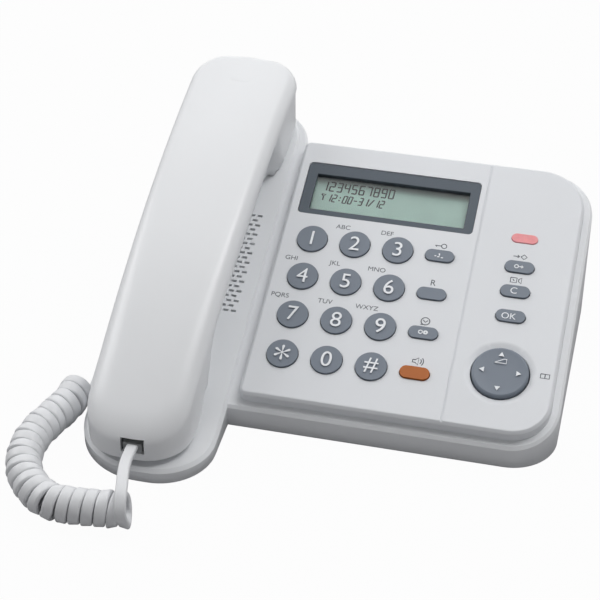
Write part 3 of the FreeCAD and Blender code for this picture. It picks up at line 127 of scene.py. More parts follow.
# %% Camera
CAMERA_PLACE = mm(118.8, -592.8, 487.8)
CAMERA_HEIGHT_ANGLE = math.radians(37.0)
CAMERA_SIDE_ANGLE = math.radians(13.21)
LENS_LENGTH, SENSOR_WIDTH = 108.0, 36.0
lens = bpy.data.cameras.new("camera")
lens.lens = LENS_LENGTH
lens.sensor_width = SENSOR_WIDTH
lens.clip_start = 0.01
camera = add_object("camera", lens)
camera.location = CAMERA_PLACE
camera.rotation_euler = (math.pi / 2 - CAMERA_HEIGHT_ANGLE, 0.0, CAMERA_SIDE_ANGLE)
bpy.context.scene.camera = camera
print("camera at", [round(value, 3) for value in camera.location])

# %% [markdown]
# ## The curly cord
# A curly cord is one strand wound round nothing at all: it keeps the shape of the rod that it was
# baked on. It could be a texture on a fat hose, but its turns catch the light one by one, so here
# the strand is really wound. First comes the line that the coil lies along on the table, as one
# smooth curve through a few given places. Then a loop winds the strand round that curve.

# %% Line of the coil
COIL_HEIGHT = 7.7
COIL_LINE = [
    (-59.9, -117.6), (-70.0, -119.4), (-80.0, -120.5), (-92.5, -120.8), (-104.5, -111.0),
    (-110.3, -99.0), (-110.9, -84.5), (-106.2, -71.0), (-102.6, -60.0), (-102.5, -51.5),
]


def smooth_curve(name, places):
    """One open smooth curve with these places, in metres, as its control points."""
    curve = bpy.data.curves.new(name, "CURVE")
    curve.dimensions = "3D"
    curve.resolution_u = 4
    line = curve.splines.new("NURBS")
    line.points.add(len(places) - 1)
    for point, place in zip(line.points, places):
        point.co = (place[0], place[1], place[2], 1.0)
    line.order_u = 3
    line.use_endpoint_u = True
    return add_object(name, curve)


def points_along(piece):
    """The points that a curve without thickness runs through."""
    bpy.context.view_layer.update()
    drawn = bpy.data.meshes.new_from_object(piece)
    places = [vertex.co.copy() for vertex in drawn.vertices]
    bpy.data.meshes.remove(drawn)
    return places


def length_of(places):
    return sum((b - a).length for a, b in zip(places[:-1], places[1:]))


coil_line = smooth_curve("coil_line", [mm(x, y, COIL_HEIGHT) for x, y in COIL_LINE])
axis_points = points_along(coil_line)
bpy.data.objects.remove(coil_line)
axis_length = length_of(axis_points)
print("coil is", round(axis_length / MM, 1), "mm long on the table")

# %% [markdown]
# The strand leaves the plug in the handset, drops over the rim, makes its turns and ends beside the
# case, where it climbs a little and goes on to the socket in the side. All of it is one spline.

# %% Line of the strand
COIL_RADIUS = 6.15 * MM
TURNS = 22.75
STEPS_PER_TURN = 16
TOP_TURN = 0.25
FIRST_TURN, LAST_TURN = 0.3125, TURNS - 0.25
OPEN_TURN = 0.9 * MM


def at_distance(distance):
    """Place and direction on the coil's line after a distance along it."""
    for a, b in zip(axis_points[:-1], axis_points[1:]):
        run = (b - a).length
        if distance <= run:
            return a + (b - a) * (distance / run), (b - a).normalized()
        distance -= run
    return axis_points[-1], (axis_points[-1] - axis_points[-2]).normalized()


def strand_place(turn):
    """Place of the strand after so many turns; the first whole turn hangs open a little."""
    place, ahead = at_distance(axis_length * turn / TURNS)
    if TOP_TURN < turn < TOP_TURN + 1.0:
        place = place - ahead * (OPEN_TURN * math.sin(math.pi * (turn - TOP_TURN)) ** 2)
    up = Vector((0.0, 0.0, 1.0))
    level = up.cross(ahead).normalized()
    angle = 2.0 * math.pi * (turn - TOP_TURN)
    return place + (level * math.cos(angle) - up * math.sin(angle)) * COIL_RADIUS


first_step, last_step = round(FIRST_TURN * STEPS_PER_TURN), int(LAST_TURN * STEPS_PER_TURN)
coil_points = [strand_place(step / STEPS_PER_TURN) for step in range(first_step, last_step + 1)]
PLUG_END = mm(-66.5, -91.8, 16.2)
from_plug = [
    PLUG_END, mm(-66.5, -99.9, 16.6), mm(-65.0, -108.0, 17.6), mm(-63.3, -114.5, 17.8),
    mm(-62.2, -120.0, 17.0), mm(-61.4, -124.0, 14.2), mm(-61.1, -125.3, 10.5),
]
to_socket = [
    mm(-100.6, -50.0, 1.6), mm(-98.8, -47.6, 2.0), mm(-98.2, -42.0, 3.4), mm(-98.2, -35.5, 6.4),
    mm(-98.4, -30.0, 8.2), mm(-97.6, -26.9, 8.3), mm(-94.2, -26.7, 8.3),
]
strand_line = smooth_curve("strand_line", from_plug + coil_points + to_socket)
strand_points = points_along(strand_line)
bpy.data.objects.remove(strand_line)

# %% [markdown]
# The strand isn't round. It is a flat ribbon, about twice as wide as it is thick, that lies on the
# coil like tape on a reel, with its flat side away from the coil's line. A curve's own bevel can't
# be steered to keep that side out, so a small rounded oblong is carried from point to point
# instead. On the coil it faces away from the nearest point of the coil's line. Off the coil it
# faces up beside the handset and down beside the case, where the ribbon turns over.

# %% Flat strand
STRAND_WIDE, STRAND_THICK, STRAND_CORNER = 4.6 * MM, 2.4 * MM, 0.8 * MM
ROUND_STEPS = 3
OFF_COIL = 1.3 * COIL_RADIUS
CASE_SIDE_X = -90.0 * MM
FACING_PASSES = 6


def strand_section():
    """Place across and rise of each corner of the section, all the way round."""
    corners = []
    for quarter, (right, up) in enumerate(((1, -1), (1, 1), (-1, 1), (-1, -1))):
        for step in range(ROUND_STEPS + 1):
            angle = math.pi / 2 * (quarter - 1 + step / ROUND_STEPS)
            corners.append((
                right * (STRAND_WIDE / 2 - STRAND_CORNER) + STRAND_CORNER * math.cos(angle),
                up * (STRAND_THICK / 2 - STRAND_CORNER) + STRAND_CORNER * math.sin(angle)))
    return corners


def away_from_coil(place):
    """Direction from the nearest point of the coil's line; straight up or down beyond its ends."""
    nearest = min(axis_points, key=lambda point: (place - point).length_squared)
    reach = place - nearest
    if reach.length > OFF_COIL:
        return Vector((0.0, 0.0, 1.0 if place.x > CASE_SIDE_X else -1.0))
    return reach.normalized()


def facing_along(places):
    """The way the flat side faces at every place, evened out where the coil begins and ends."""
    facing = [away_from_coil(place) for place in places]
    for _ in range(FACING_PASSES):
        inner = [(a + b + c).normalized() for a, b, c in zip(facing[:-2], facing[1:-1], facing[2:])]
        facing = [facing[0]] + inner + [facing[-1]]
    return facing


def strand_mesh(name, places):
    """A closed tube of the strand's section along the places."""
    section = strand_section()
    mesh = bmesh.new()
    rings = []
    facing = facing_along(places)
    for index, place in enumerate(places):
        ahead = (places[min(index + 1, len(places) - 1)] - places[max(index - 1, 0)]).normalized()
        across = ahead.cross(facing[index]).normalized()
        out = across.cross(ahead)
        rings.append([mesh.verts.new(place + across * x + out * z) for x, z in section])
    for ring, following in zip(rings[:-1], rings[1:]):
        for step in range(len(section)):
            other = (step + 1) % len(section)
            mesh.faces.new((ring[step], ring[other], following[other], following[step]))
    mesh.faces.new(rings[0])
    mesh.faces.new(rings[-1])
    bmesh.ops.recalc_face_normals(mesh, faces=mesh.faces)
    data = bpy.data.meshes.new(name)
    mesh.to_mesh(data)
    mesh.free()
    return add_object(name, data)


cord = strand_mesh("curly_cord", strand_points)
choose(cord)
bpy.ops.object.shade_smooth_by_angle(angle=math.radians(60.0))
print("cord faces:", len(cord.data.polygons))

# %% [markdown]
# ## Finishes
# Nearly all of the telephone is moulded plastic. A mould is never perfectly even: the surface has a
# very fine grain that breaks up reflections, and the colour drifts by a hair. One recipe makes all
# of the plastics, with their own colour, gloss and grain.

# %% Moulded plastic
def recipe(name, colour, roughness):
    """A material with its main shader and a place input, ready for detail."""
    material = bpy.data.materials.new(name)
    material.use_nodes = True
    tree = material.node_tree
    shader = tree.nodes["Principled BSDF"]
    shader.inputs["Base Color"].default_value = (*colour, 1.0)
    shader.inputs["Roughness"].default_value = roughness
    place = tree.nodes.new("ShaderNodeTexCoord")
    return material, tree, shader, place.outputs["Object"]


def noise(tree, place, grains_per_metre, detail=3.0):
    """A cloudy pattern fixed to the piece's own place."""
    texture = tree.nodes.new("ShaderNodeTexNoise")
    texture.inputs["Scale"].default_value = grains_per_metre
    texture.inputs["Detail"].default_value = detail
    tree.links.new(place, texture.inputs["Vector"])
    return texture.outputs["Fac"]


def colour_drift(tree, shader, fac, colour, spread):
    """Colour that wanders a little round the given one."""
    ramp = tree.nodes.new("ShaderNodeValToRGB")
    ramp.color_ramp.elements[0].position = 0.3
    ramp.color_ramp.elements[1].position = 0.7
    ramp.color_ramp.elements[0].color = (*[value * (1.0 - spread) for value in colour], 1.0)
    ramp.color_ramp.elements[1].color = (*[min(1.0, value * (1.0 + spread)) for value in colour], 1.0)
    tree.links.new(fac, ramp.inputs["Fac"])
    tree.links.new(ramp.outputs["Color"], shader.inputs["Base Color"])


def grain(tree, shader, fac, strength, height):
    """Fine bumps of a height in metres."""
    bump = tree.nodes.new("ShaderNodeBump")
    bump.inputs["Strength"].default_value = strength
    bump.inputs["Distance"].default_value = height
    tree.links.new(fac, bump.inputs["Height"])
    tree.links.new(bump.outputs["Normal"], shader.inputs["Normal"])


def gloss_drift(tree, shader, fac, low, high):
    """Roughness that wanders between two values."""
    spread = tree.nodes.new("ShaderNodeMapRange")
    spread.inputs["To Min"].default_value = low
    spread.inputs["To Max"].default_value = high
    tree.links.new(fac, spread.inputs["Value"])
    tree.links.new(spread.outputs["Result"], shader.inputs["Roughness"])


COLOUR_CLOUDS, GLOSS_CLOUDS = 18.0, 60.0
GRAIN_HEIGHT, COLOUR_SPREAD = 0.02 * MM, 0.012


def moulded(name, colour, roughness, grains=2600.0, strength=0.25):
    """Moulded plastic: a drifting colour and gloss under a fine grain."""
    material, tree, shader, place = recipe(name, colour, roughness)
    colour_drift(tree, shader, noise(tree, place, COLOUR_CLOUDS), colour, COLOUR_SPREAD)
    gloss_drift(tree, shader, noise(tree, place, GLOSS_CLOUDS), roughness - 0.04, roughness + 0.06)
    grain(tree, shader, noise(tree, place, grains), strength, GRAIN_HEIGHT)
    return material


case_white = moulded("case_white", (0.80, 0.815, 0.835), 0.38)
panel_white = moulded("panel_white", (0.735, 0.752, 0.78), 0.42)
handset_white = moulded("handset_white", (0.80, 0.812, 0.83), 0.30, strength=0.12)
key_grey = moulded("key_grey", (0.18, 0.21, 0.255), 0.42)
speaker_amber = moulded("speaker_amber", (0.43, 0.112, 0.008), 0.45)
bezel_slate = moulded("bezel_slate", (0.078, 0.098, 0.122), 0.55)
socket_grey = moulded("socket_grey", (0.16, 0.165, 0.17), 0.5)
cord_white = moulded("cord_white", (0.74, 0.75, 0.77), 0.36, grains=1500.0, strength=0.15)
rubber_grey = moulded("rubber_grey", (0.10, 0.10, 0.105), 0.8, grains=900.0, strength=0.5)
legend_white = moulded("legend_white", (0.85, 0.87, 0.90), 0.5)
legend_ink = moulded("legend_ink", (0.10, 0.11, 0.13), 0.5)
lcd_ink = moulded("lcd_ink", (0.018, 0.024, 0.028), 0.5)
lcd_ink.node_tree.nodes["Principled BSDF"].inputs["Specular IOR Level"].default_value = 0.1
board_green = moulded("board_green", (0.03, 0.12, 0.05), 0.45, grains=700.0)
cell_wrap = moulded("cell_wrap", (0.06, 0.08, 0.10), 0.35)
print("plastics ready:", len(bpy.data.materials))

# %% [markdown]
# A few things aren't moulded plastic: steel screws and contacts with fine scratches, the clear
# plugs and display window, the red lamp that light sinks into, and the liquid crystal. The crystal
# lies deep under its window, so its upper edge is in shadow. Light alone gives too little of that,
# so its colour darkens up the slope with a ramp that is fixed to the piece.

# %% Clear plastic, steel, lamp and liquid crystal
def clear(name, colour, roughness, through):
    """Clear plastic that lets a share of the light through."""
    material, tree, shader, place = recipe(name, colour, roughness)
    shader.inputs["Transmission Weight"].default_value = through
    shader.inputs["IOR"].default_value = 1.45
    cloud = noise(tree, place, 150.0)
    colour_drift(tree, shader, cloud, colour, 0.02)
    gloss_drift(tree, shader, cloud, roughness, roughness + 0.03)
    return material


plug_clear = clear("plug_clear", (0.80, 0.83, 0.84), 0.12, 0.7)
window_clear = clear("window_clear", (0.96, 0.98, 0.97), 0.0, 1.0)

steel_plain, tree, shader, place = recipe("steel_plain", (0.55, 0.55, 0.56), 0.3)
shader.inputs["Metallic"].default_value = 1.0
scratches = noise(tree, place, 1400.0, 6.0)
gloss_drift(tree, shader, scratches, 0.3, 0.45)
grain(tree, shader, scratches, 0.2, 0.01 * MM)

LAMP_COLOUR = (0.85, 0.315, 0.33)
lamp_red, tree, shader, place = recipe("lamp_red", LAMP_COLOUR, 0.3)
shader.inputs["Subsurface Weight"].default_value = 0.4
shader.inputs["Subsurface Scale"].default_value = 1.5 * MM
lamp_cloud = noise(tree, place, 400.0)
colour_drift(tree, shader, lamp_cloud, LAMP_COLOUR, 0.06)
grain(tree, shader, lamp_cloud, 0.1, 0.02 * MM)

LCD_STOPS = [
    (0.0, (0.53, 0.75, 0.68)), (0.45, (0.46, 0.66, 0.60)),
    (0.72, (0.20, 0.30, 0.28)), (1.0, (0.05, 0.07, 0.07)),
]
LCD_SHADE_LOW, LCD_SHADE_HIGH = 57.0, 67.0
UP_THE_SLOPE = Vector((0.0, math.cos(TILT), math.sin(TILT)))
lcd_green, tree, shader, place = recipe("lcd_green", LCD_STOPS[0][1], 0.35)
up_slope = tree.nodes.new("ShaderNodeVectorMath")
up_slope.operation = "DOT_PRODUCT"
up_slope.inputs[1].default_value = UP_THE_SLOPE
tree.links.new(place, up_slope.inputs[0])
share = tree.nodes.new("ShaderNodeMapRange")
foot = PANEL_ORIGIN.dot(UP_THE_SLOPE)
share.inputs["From Min"].default_value = foot + LCD_SHADE_LOW * MM
share.inputs["From Max"].default_value = foot + LCD_SHADE_HIGH * MM
tree.links.new(up_slope.outputs["Value"], share.inputs["Value"])
shade = tree.nodes.new("ShaderNodeValToRGB")
for position, colour in LCD_STOPS[1:-1]:
    shade.color_ramp.elements.new(position)
for element, (position, colour) in zip(shade.color_ramp.elements, LCD_STOPS):
    element.position = position
    element.color = (*colour, 1.0)
tree.links.new(share.outputs["Result"], shade.inputs["Fac"])
tree.links.new(shade.outputs["Color"], shader.inputs["Base Color"])
grain(tree, shader, noise(tree, place, 5000.0), 0.1, 0.01 * MM)
print("materials:", len(bpy.data.materials))

# %% [markdown]
# Now every solid gets its finish, also those deep inside the case that only show when the handset
# is lifted or a cover is taken off. New pieces take theirs from the same table later on, and what is
# printed on a piece has its slot, but an ink of its own.

# %% Finishes for the solids
FINISH_OF_SLOT = {
    "case_plastic": case_white, "panel_plastic": panel_white, "handset_plastic": handset_white,
    "key_plastic": key_grey, "speaker_key_plastic": speaker_amber, "bezel_plastic": bezel_slate,
    "window_plastic": window_clear, "lcd": lcd_green, "lamp_red": lamp_red,
    "cord_plastic": cord_white, "plug_clear": plug_clear, "jack_plastic": socket_grey,
    "rubber": rubber_grey, "circuit_board": board_green, "steel": steel_plain,
    "led": legend_white, "battery": cell_wrap,
}
INK_ON_SLOT = {"panel_plastic": legend_ink, "key_plastic": legend_white, "lcd": lcd_ink}


def paint(piece, material):
    """Gives a piece one material all over."""
    piece.data.materials.clear()
    piece.data.materials.append(material)


def carry(piece, body, slot_name, finishes=FINISH_OF_SLOT):
    """Lets a new piece ride on a body, with the finish of a slot or the ink for it."""
    paint(piece, finishes[slot_name])
    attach(piece, body)


slot_of_node = {row["node"]: row["material_slot"] for row in frame["record"]["subparts"]}
for name, node in nodes.items():
    paint(node, FINISH_OF_SLOT[slot_of_node[name]])
paint(cord, cord_white)
print("painted", len(nodes), "solids")

# %% [markdown]
# ## From a solid to a moulding
# The case parts have the right shape, but their edges are knife sharp. A real moulding has every
# edge broken by a few tenths of a millimetre, and those thin rounded edges carry the highlights
# that draw the outline. So each case part that shows is copied, its triangles are joined up again,
# and its edges are rounded with a narrow bevel. On the two largest parts the slanted edges are
# rounded first, and more generously. The lower case has long thin faces that don't join up well,
# and it hardly shows, so its solid stays as it is.

# %% Copies with rounded edges
MERGE_REACH = 0.002 * MM
FLAT_ANGLE, SHARP_ANGLE = math.radians(0.6), math.radians(35.0)
SLANT_LOW, SLANT_HIGH = math.radians(28.0), math.radians(62.0)


def select_slanted(piece):
    """Selects the edges where two faces meet at about half of a right angle, in edit mode."""
    mesh = bmesh.from_edit_mesh(piece.data)
    for edge in mesh.edges:
        angle = edge.calc_face_angle(0.0)
        edge.select_set(SLANT_LOW < angle < SLANT_HIGH)
    bmesh.update_edit_mesh(piece.data)


def moulding_of(name, edge, soft):
    """A copy of a solid that stands for it, with its edges rounded by so many millimetres."""
    source = nodes[name]
    piece = add_object(name + "_moulding", source.data.copy())
    choose(piece)
    bpy.ops.object.mode_set(mode="EDIT")
    bpy.ops.mesh.select_all(action="SELECT")
    bpy.ops.mesh.remove_doubles(threshold=MERGE_REACH)
    bpy.ops.mesh.dissolve_limited(angle_limit=FLAT_ANGLE)
    if soft:
        bpy.ops.mesh.select_all(action="DESELECT")
        bpy.ops.mesh.select_mode(type="EDGE")
        select_slanted(piece)
        bpy.ops.mesh.bevel(offset=soft * MM, segments=3, clamp_overlap=True)
    bpy.ops.object.mode_set(mode="OBJECT")
    bevel = piece.modifiers.new("edges", "BEVEL")
    bevel.width = edge * MM
    bevel.segments = 2
    bevel.limit_method = "ANGLE"
    bevel.angle_limit = SLANT_HIGH if soft else SHARP_ANGLE
    bevel.harden_normals = True
    bpy.ops.object.modifier_apply(modifier=bevel.name)
    bpy.ops.object.shade_smooth_by_angle(angle=SHARP_ANGLE)
    flat_faces = piece.modifiers.new("flat_faces", "WEIGHTED_NORMAL")
    flat_faces.keep_sharp = True
    bpy.ops.object.modifier_apply(modifier=flat_faces.name)
    carry(piece, source["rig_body"], slot_of_node[name])
    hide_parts(name)
    return piece


print("mouldings can be made")

# %% [markdown]
# Three parts get a last touch. The photograph shows the round disc, and its hole and shallow dish in
# the panel, a little larger and lower on the slope, so their points are drawn outward from the
# disc's middle. The skirt of the upper case comes down almost to the table, which leaves a thin
# dark line.

# %% The mouldings
DISC_U, DISC_V = 70.6, -22.6
HOLE_REACH, DISH_REACH = 12.5, 15.0
HOLE_STRETCH, DISH_STRETCH, DISC_SLIDE = 1.05, 1.09, 0.6
SKIRT_LOW, SKIRT_DROPPED = 1.6, 0.35


def stretch_disc(piece):
    """Draws the disc, its hole and its dish outward on the panel, and slides them down the slope."""
    flat = PANEL.inverted()
    for vertex in piece.data.vertices:
        place = flat @ vertex.co
        across, up = place.x / MM - DISC_U, place.y / MM - DISC_V
        reach = math.hypot(across, up)
        factor = HOLE_STRETCH if reach < HOLE_REACH else DISH_STRETCH
        if reach < DISH_REACH:
            vertex.co = on_panel(DISC_U + across * factor, DISC_V + up * factor - DISC_SLIDE, place.z / MM)


def lower_skirt(piece):
    """Brings the lowest points of the upper case down to just above the table."""
    for vertex in piece.data.vertices:
        if vertex.co.z < SKIRT_LOW * MM:
            vertex.co.z = SKIRT_DROPPED * MM


mouldings = {}
for name, edge, soft in (
    ("upper_case", 0.12, 0.8), ("key_panel", 0.08, 0.6), ("display_bezel", 0.25, 0.0),
    ("lamp_lens", 0.25, 0.0), ("hook_plunger", 0.4, 0.0), ("battery_cover", 0.2, 0.0),
    ("navigation_disc", 0.25, 0.0),
):
    mouldings[name] = moulding_of(name, edge, soft)
    print(name, len(mouldings[name].data.polygons), "faces")
stretch_disc(mouldings["key_panel"])
stretch_disc(mouldings["navigation_disc"])
lower_skirt(mouldings["upper_case"])

# %% [markdown]
# ## The handset
# The handset is two shells that meet at a seam along its sides. Seen from above its outline is a
# long rounded oblong, a little wider at the ear. The outer shell rises from the seam, rolls over a
# generous shoulder and ends in a long crowned arch. A subdivided box could give that, but its seam
# and its two cups are hard to hold to a line. So both shells are made from rings: a ring of points
# in the shape of the outline is extruded again and again, and each new ring is moved to its own
# inset and height. That gives clean rows of faces that follow the form.

# %% Outline and heights of the handset
HAND_X, HAND_LEAN = -66.55, 1.75
MOUTH_Y, EAR_Y = -92.3, 94.0
MOUTH_HALF, EAR_HALF = 20.9, 24.0
MOUTH_ROUND, EAR_ROUND = 17.0, 13.0
ARCH_RADIUS, CROWN_RADIUS = 500.0, 90.0
ARCH_Y, ARCH_Z = 169.42, -403.33
SEAM_DROP, MOUTH_LIP = 8.0, 2.4
SEAM_RISE_Y = (-72.0, -40.0)
SOLE_W, GRIP_W = DECK_W + 0.3, 16.0
FRONT_SOLE = 7.1
GRIP_FRONT_Y, GRIP_BACK_Y = (-49.5, -43.5), (43.5, 53.0)
CUP_HALF, CUP_ROUND, FRONT_CUP_SHARE = 10.0, 13.0, 0.3
TUCK_FADE_Y = (-65.0, -35.0)
CORNER_STEPS = 8
SIDE_STEP = 3.0
LEAST_ROUND = 0.6


def eased(value, start, stop):
    """A share from 0 at start to 1 at stop, with soft ends."""
    share = min(max((value - start) / (stop - start), 0.0), 1.0)
    return share * share * (3.0 - 2.0 * share)


def along_share(y):
    """Share of the way from the mouth end to the ear end."""
    return (y - MOUTH_Y) / (EAR_Y - MOUTH_Y)


def half_width(y, inset):
    """Half of the width of the outline at y, drawn in by the inset."""
    return MOUTH_HALF + (EAR_HALF - MOUTH_HALF) * along_share(y) - inset


def centre_x(y):
    """Middle of the handset at y; it leans a little to the right on its way back."""
    return HAND_X + HAND_LEAN * (2.0 * along_share(y) - 1.0)


def outline(inset, tuck=0.0, fade=TUCK_FADE_Y):
    """Right half of the outline, mouth end first, drawn in by an inset and a tuck that fades along y."""
    front_inset = inset + tuck
    places = [(0.0, MOUTH_Y + front_inset)]
    front_round = max(MOUTH_ROUND - front_inset, LEAST_ROUND)
    back_round = max(EAR_ROUND - inset, LEAST_ROUND)
    front_y, back_y = MOUTH_Y + front_inset + front_round, EAR_Y - inset - back_round
    for step in range(CORNER_STEPS + 1):
        angle = math.pi / 2 * step / CORNER_STEPS
        centre = half_width(front_y, front_inset) - front_round
        places.append((centre + front_round * math.sin(angle), front_y - front_round * math.cos(angle)))
    count = round((EAR_Y - EAR_ROUND - MOUTH_Y - MOUTH_ROUND) / SIDE_STEP)
    for step in range(1, count):
        y = front_y + (back_y - front_y) * step / count
        places.append((half_width(y, inset + tuck * (1.0 - eased(y, *fade))), y))
    for step in range(CORNER_STEPS + 1):
        angle = math.pi / 2 * step / CORNER_STEPS
        centre = half_width(back_y, inset) - back_round
        places.append((centre + back_round * math.cos(angle), back_y + back_round * math.sin(angle)))
    places.append((0.0, EAR_Y - inset))
    return places


def crown_height(x, y):
    """Height of the arched, crowned top."""
    arch = ARCH_Z + math.sqrt(ARCH_RADIUS ** 2 - (y - ARCH_Y) ** 2)
    return arch - CROWN_RADIUS + math.sqrt(CROWN_RADIUS ** 2 - x ** 2)


def seam_height(y):
    """Height of the seam; it follows the arch and comes down close to the sole at the mouth."""
    high = ARCH_Z + math.sqrt((ARCH_RADIUS - SEAM_DROP) ** 2 - (y - ARCH_Y) ** 2)
    low = max(FRONT_SOLE, slope_height(SOLE_W, y)) + MOUTH_LIP
    return low + (high - low) * eased(y, *SEAM_RISE_Y)


def sole_height(x, y):
    """Height of the underside: the mouth cup, the raised grip and the ear cup."""
    sole = max(FRONT_SOLE, slope_height(SOLE_W, y))
    corner = max(abs(x) - CUP_HALF, 0.0)
    bend = CUP_ROUND - math.sqrt(max(CUP_ROUND ** 2 - corner ** 2, 0.0))
    raised = eased(y - bend * FRONT_CUP_SHARE, *GRIP_FRONT_Y) * (1.0 - eased(y - bend, *GRIP_BACK_Y))
    return sole + (slope_height(GRIP_W, y) - sole) * raised


print("handset outline has", 2 * len(outline(0.0)) - 2, "points")

# %% [markdown]
# The ring builder below works as one would by hand: add a circle, pull its points into the first
# ring, then extrude and move, once for every ring. The last ring is closed with rows of faces from
# side to side. Where it lies flat, the middle point of each end is in line with its neighbours, and
# a triangle there would have no area, so the row beside it takes that point in.

# %% Building by rings
def new_ring_piece(name, first):
    """A piece that starts as one ring of places, left selected in edit mode."""
    deselect()
    bpy.ops.mesh.primitive_circle_add(vertices=len(first), radius=0.01)
    piece = bpy.context.object
    piece.name = name
    for vertex, place in zip(piece.data.vertices, first):
        vertex.co = place
    bpy.ops.object.mode_set(mode="EDIT")
    bpy.ops.mesh.select_all(action="SELECT")
    return piece


def selected_ring(mesh):
    """The selected points of a mesh in edit mode, in their order round the ring."""
    chosen = [vertex for vertex in mesh.verts if vertex.select]
    return sorted(chosen, key=lambda vertex: vertex.index)


def extrude_ring(piece, places):
    """Extrudes the selected ring and moves it to the next places."""
    bpy.ops.mesh.extrude_region_move()
    mesh = bmesh.from_edit_mesh(piece.data)
    for vertex, place in zip(selected_ring(mesh), places):
        vertex.co = place
    bmesh.update_edit_mesh(piece.data)


def close_across(piece, flat=False):
    """Closes the selected ring with faces across it; a flat one has no triangles at its ends."""
    mesh = bmesh.from_edit_mesh(piece.data)
    ring = selected_ring(mesh)
    count, half = len(ring), len(ring) // 2
    rows = list(range(half + 1))
    if flat:
        rows = [0] + rows[2:-2] + [half]
    for first, last in zip(rows[:-1], rows[1:]):
        right = [ring[index] for index in range(first, last + 1)]
        left = [ring[count - index] for index in range(last, first - 1, -1) if index not in (0, half)]
        mesh.faces.new(right + left)
    bmesh.update_edit_mesh(piece.data)


def finish_faces(smooth_angle):
    """Turns the faces outward and shades the piece in edit mode, which is then left."""
    bpy.ops.mesh.select_all(action="SELECT")
    bpy.ops.mesh.normals_make_consistent(inside=False)
    bpy.ops.object.mode_set(mode="OBJECT")
    bpy.ops.object.shade_smooth_by_angle(angle=math.radians(smooth_angle))


def hand_ring(inset, height, tuck=0.0, fade=TUCK_FADE_Y):
    """A whole ring of the handset, in metres, with its height given by a function of x and y."""
    right = outline(inset, tuck, fade)
    left = [(-x, y) for x, y in reversed(right[1:-1])]
    return [mm(centre_x(y) + x, y, height(x, y)) for x, y in right + left]


print("ring tools ready")

# %% [markdown]
# The outer shell starts with a small step at the seam, where the real one has a groove. Then come
# the rings of the shoulder, which is a quarter turn high and reaches further in at the mouth, and
# the rings of the crown, which close in on the middle.

# %% Outer shell
RING_SMOOTH = 40.0
EAR_REACH, MOUTH_REACH, SHOULDER_RISE = 4.5, 9.0, 5.0
SHOULDER_STEPS = 8
CROWN_FADE_Y = (-80.0, 10.0)
CROWN_RINGS = [(7.0, 3.6), (10.5, 2.2), (14.0, 1.0), (17.0, 0.3), (19.6, 0.0)]
SEAM_STEP_IN, SEAM_STEP_LOW, SEAM_STEP_HIGH = 0.35, 0.15, 0.45
LIP_RISE = 0.8


def shoulder(angle):
    """Ring on the rounded shoulder, from the lip at 0 to the crown at a right angle."""
    roll = 1.0 - math.cos(angle)

    def height(x, y):
        lip = max(seam_height(y) + LIP_RISE, crown_height(x, y) - SHOULDER_RISE)
        return lip + (crown_height(x, y) - lip) * math.sin(angle)

    return hand_ring(EAR_REACH * roll, height, (MOUTH_REACH - EAR_REACH) * roll, CROWN_FADE_Y)


def seam_ring(inset, rise, tuck=0.0):
    """Ring that follows the seam at a rise above it, or below it."""
    return hand_ring(inset, lambda x, y: seam_height(y) + rise, tuck)


outer = new_ring_piece("handset_outer", seam_ring(SEAM_STEP_IN, SEAM_STEP_LOW))
extrude_ring(outer, seam_ring(0.0, SEAM_STEP_HIGH))
for step in range(SHOULDER_STEPS + 1):
    extrude_ring(outer, shoulder(math.pi / 2 * step / SHOULDER_STEPS))
for inset, tuck in CROWN_RINGS:
    extrude_ring(outer, hand_ring(inset, crown_height, tuck, CROWN_FADE_Y))
close_across(outer)
finish_faces(RING_SMOOTH)
print(outer.name, len(outer.data.polygons), "faces")

# %% [markdown]
# The inner shell hangs below the seam. A narrow flange at its top stops the eye from looking in
# through the seam. Its wall steps in a little, more so at the mouth, so that the seam shows as a
# fine dark line, and its lower edge is rounded before the underside closes across the middle.

# %% Inner shell
FLANGE_IN, SET_IN, TUCK = 0.45, 0.5, 3.7
FLANGE_TOP, FLANGE_LOW, WALL_TOP, WALL_LOW, SOLE_LIMIT = 0.3, 0.12, 0.1, -0.5, -0.8
SOLE_ROUND, SOLE_STEPS = 3.0, 4
SOLE_INSETS = [7.0, 11.0, 14.5]


def lower_ring(angle):
    """Ring on the rounded lower edge, from the wall at 0 to the sole at a right angle."""
    inset = SET_IN + SOLE_ROUND * (1.0 - math.cos(angle))
    rise = SOLE_ROUND * (1.0 - math.sin(angle))
    return hand_ring(inset, lambda x, y: min(sole_height(x, y) + rise, seam_height(y) + SOLE_LIMIT), TUCK)


inner = new_ring_piece("handset_inner", seam_ring(FLANGE_IN, FLANGE_TOP))
extrude_ring(inner, seam_ring(FLANGE_IN, FLANGE_LOW))
extrude_ring(inner, seam_ring(SET_IN, WALL_TOP, TUCK))
extrude_ring(inner, seam_ring(SET_IN, WALL_LOW, TUCK))
for step in range(SOLE_STEPS + 1):
    extrude_ring(inner, lower_ring(math.pi / 2 * step / SOLE_STEPS))
for inset in SOLE_INSETS:
    extrude_ring(inner, hand_ring(inset, sole_height, TUCK))
close_across(inner, flat=True)
finish_faces(RING_SMOOTH)
print(inner.name, len(inner.data.polygons), "faces")

# %% [markdown]
# Both shells are given a wall with Solidify, which grows it inward, and then the mouth of the cord's
# socket is cut through them at the lower end. A boolean with a plain box is the surest way here,
# because the opening crosses the seam.

# %% Walls and the socket's mouth
SHELL_WALL = 2.0
MOUTH_WIDE, MOUTH_TALL, MOUTH_DEEP, MOUTH_Z = 9.6, 6.8, 9.0, 16.6


def apply(piece, modifier):
    """Applies a modifier to the piece, which becomes the only one selected."""
    choose(piece)
    bpy.ops.object.modifier_apply(modifier=modifier.name)


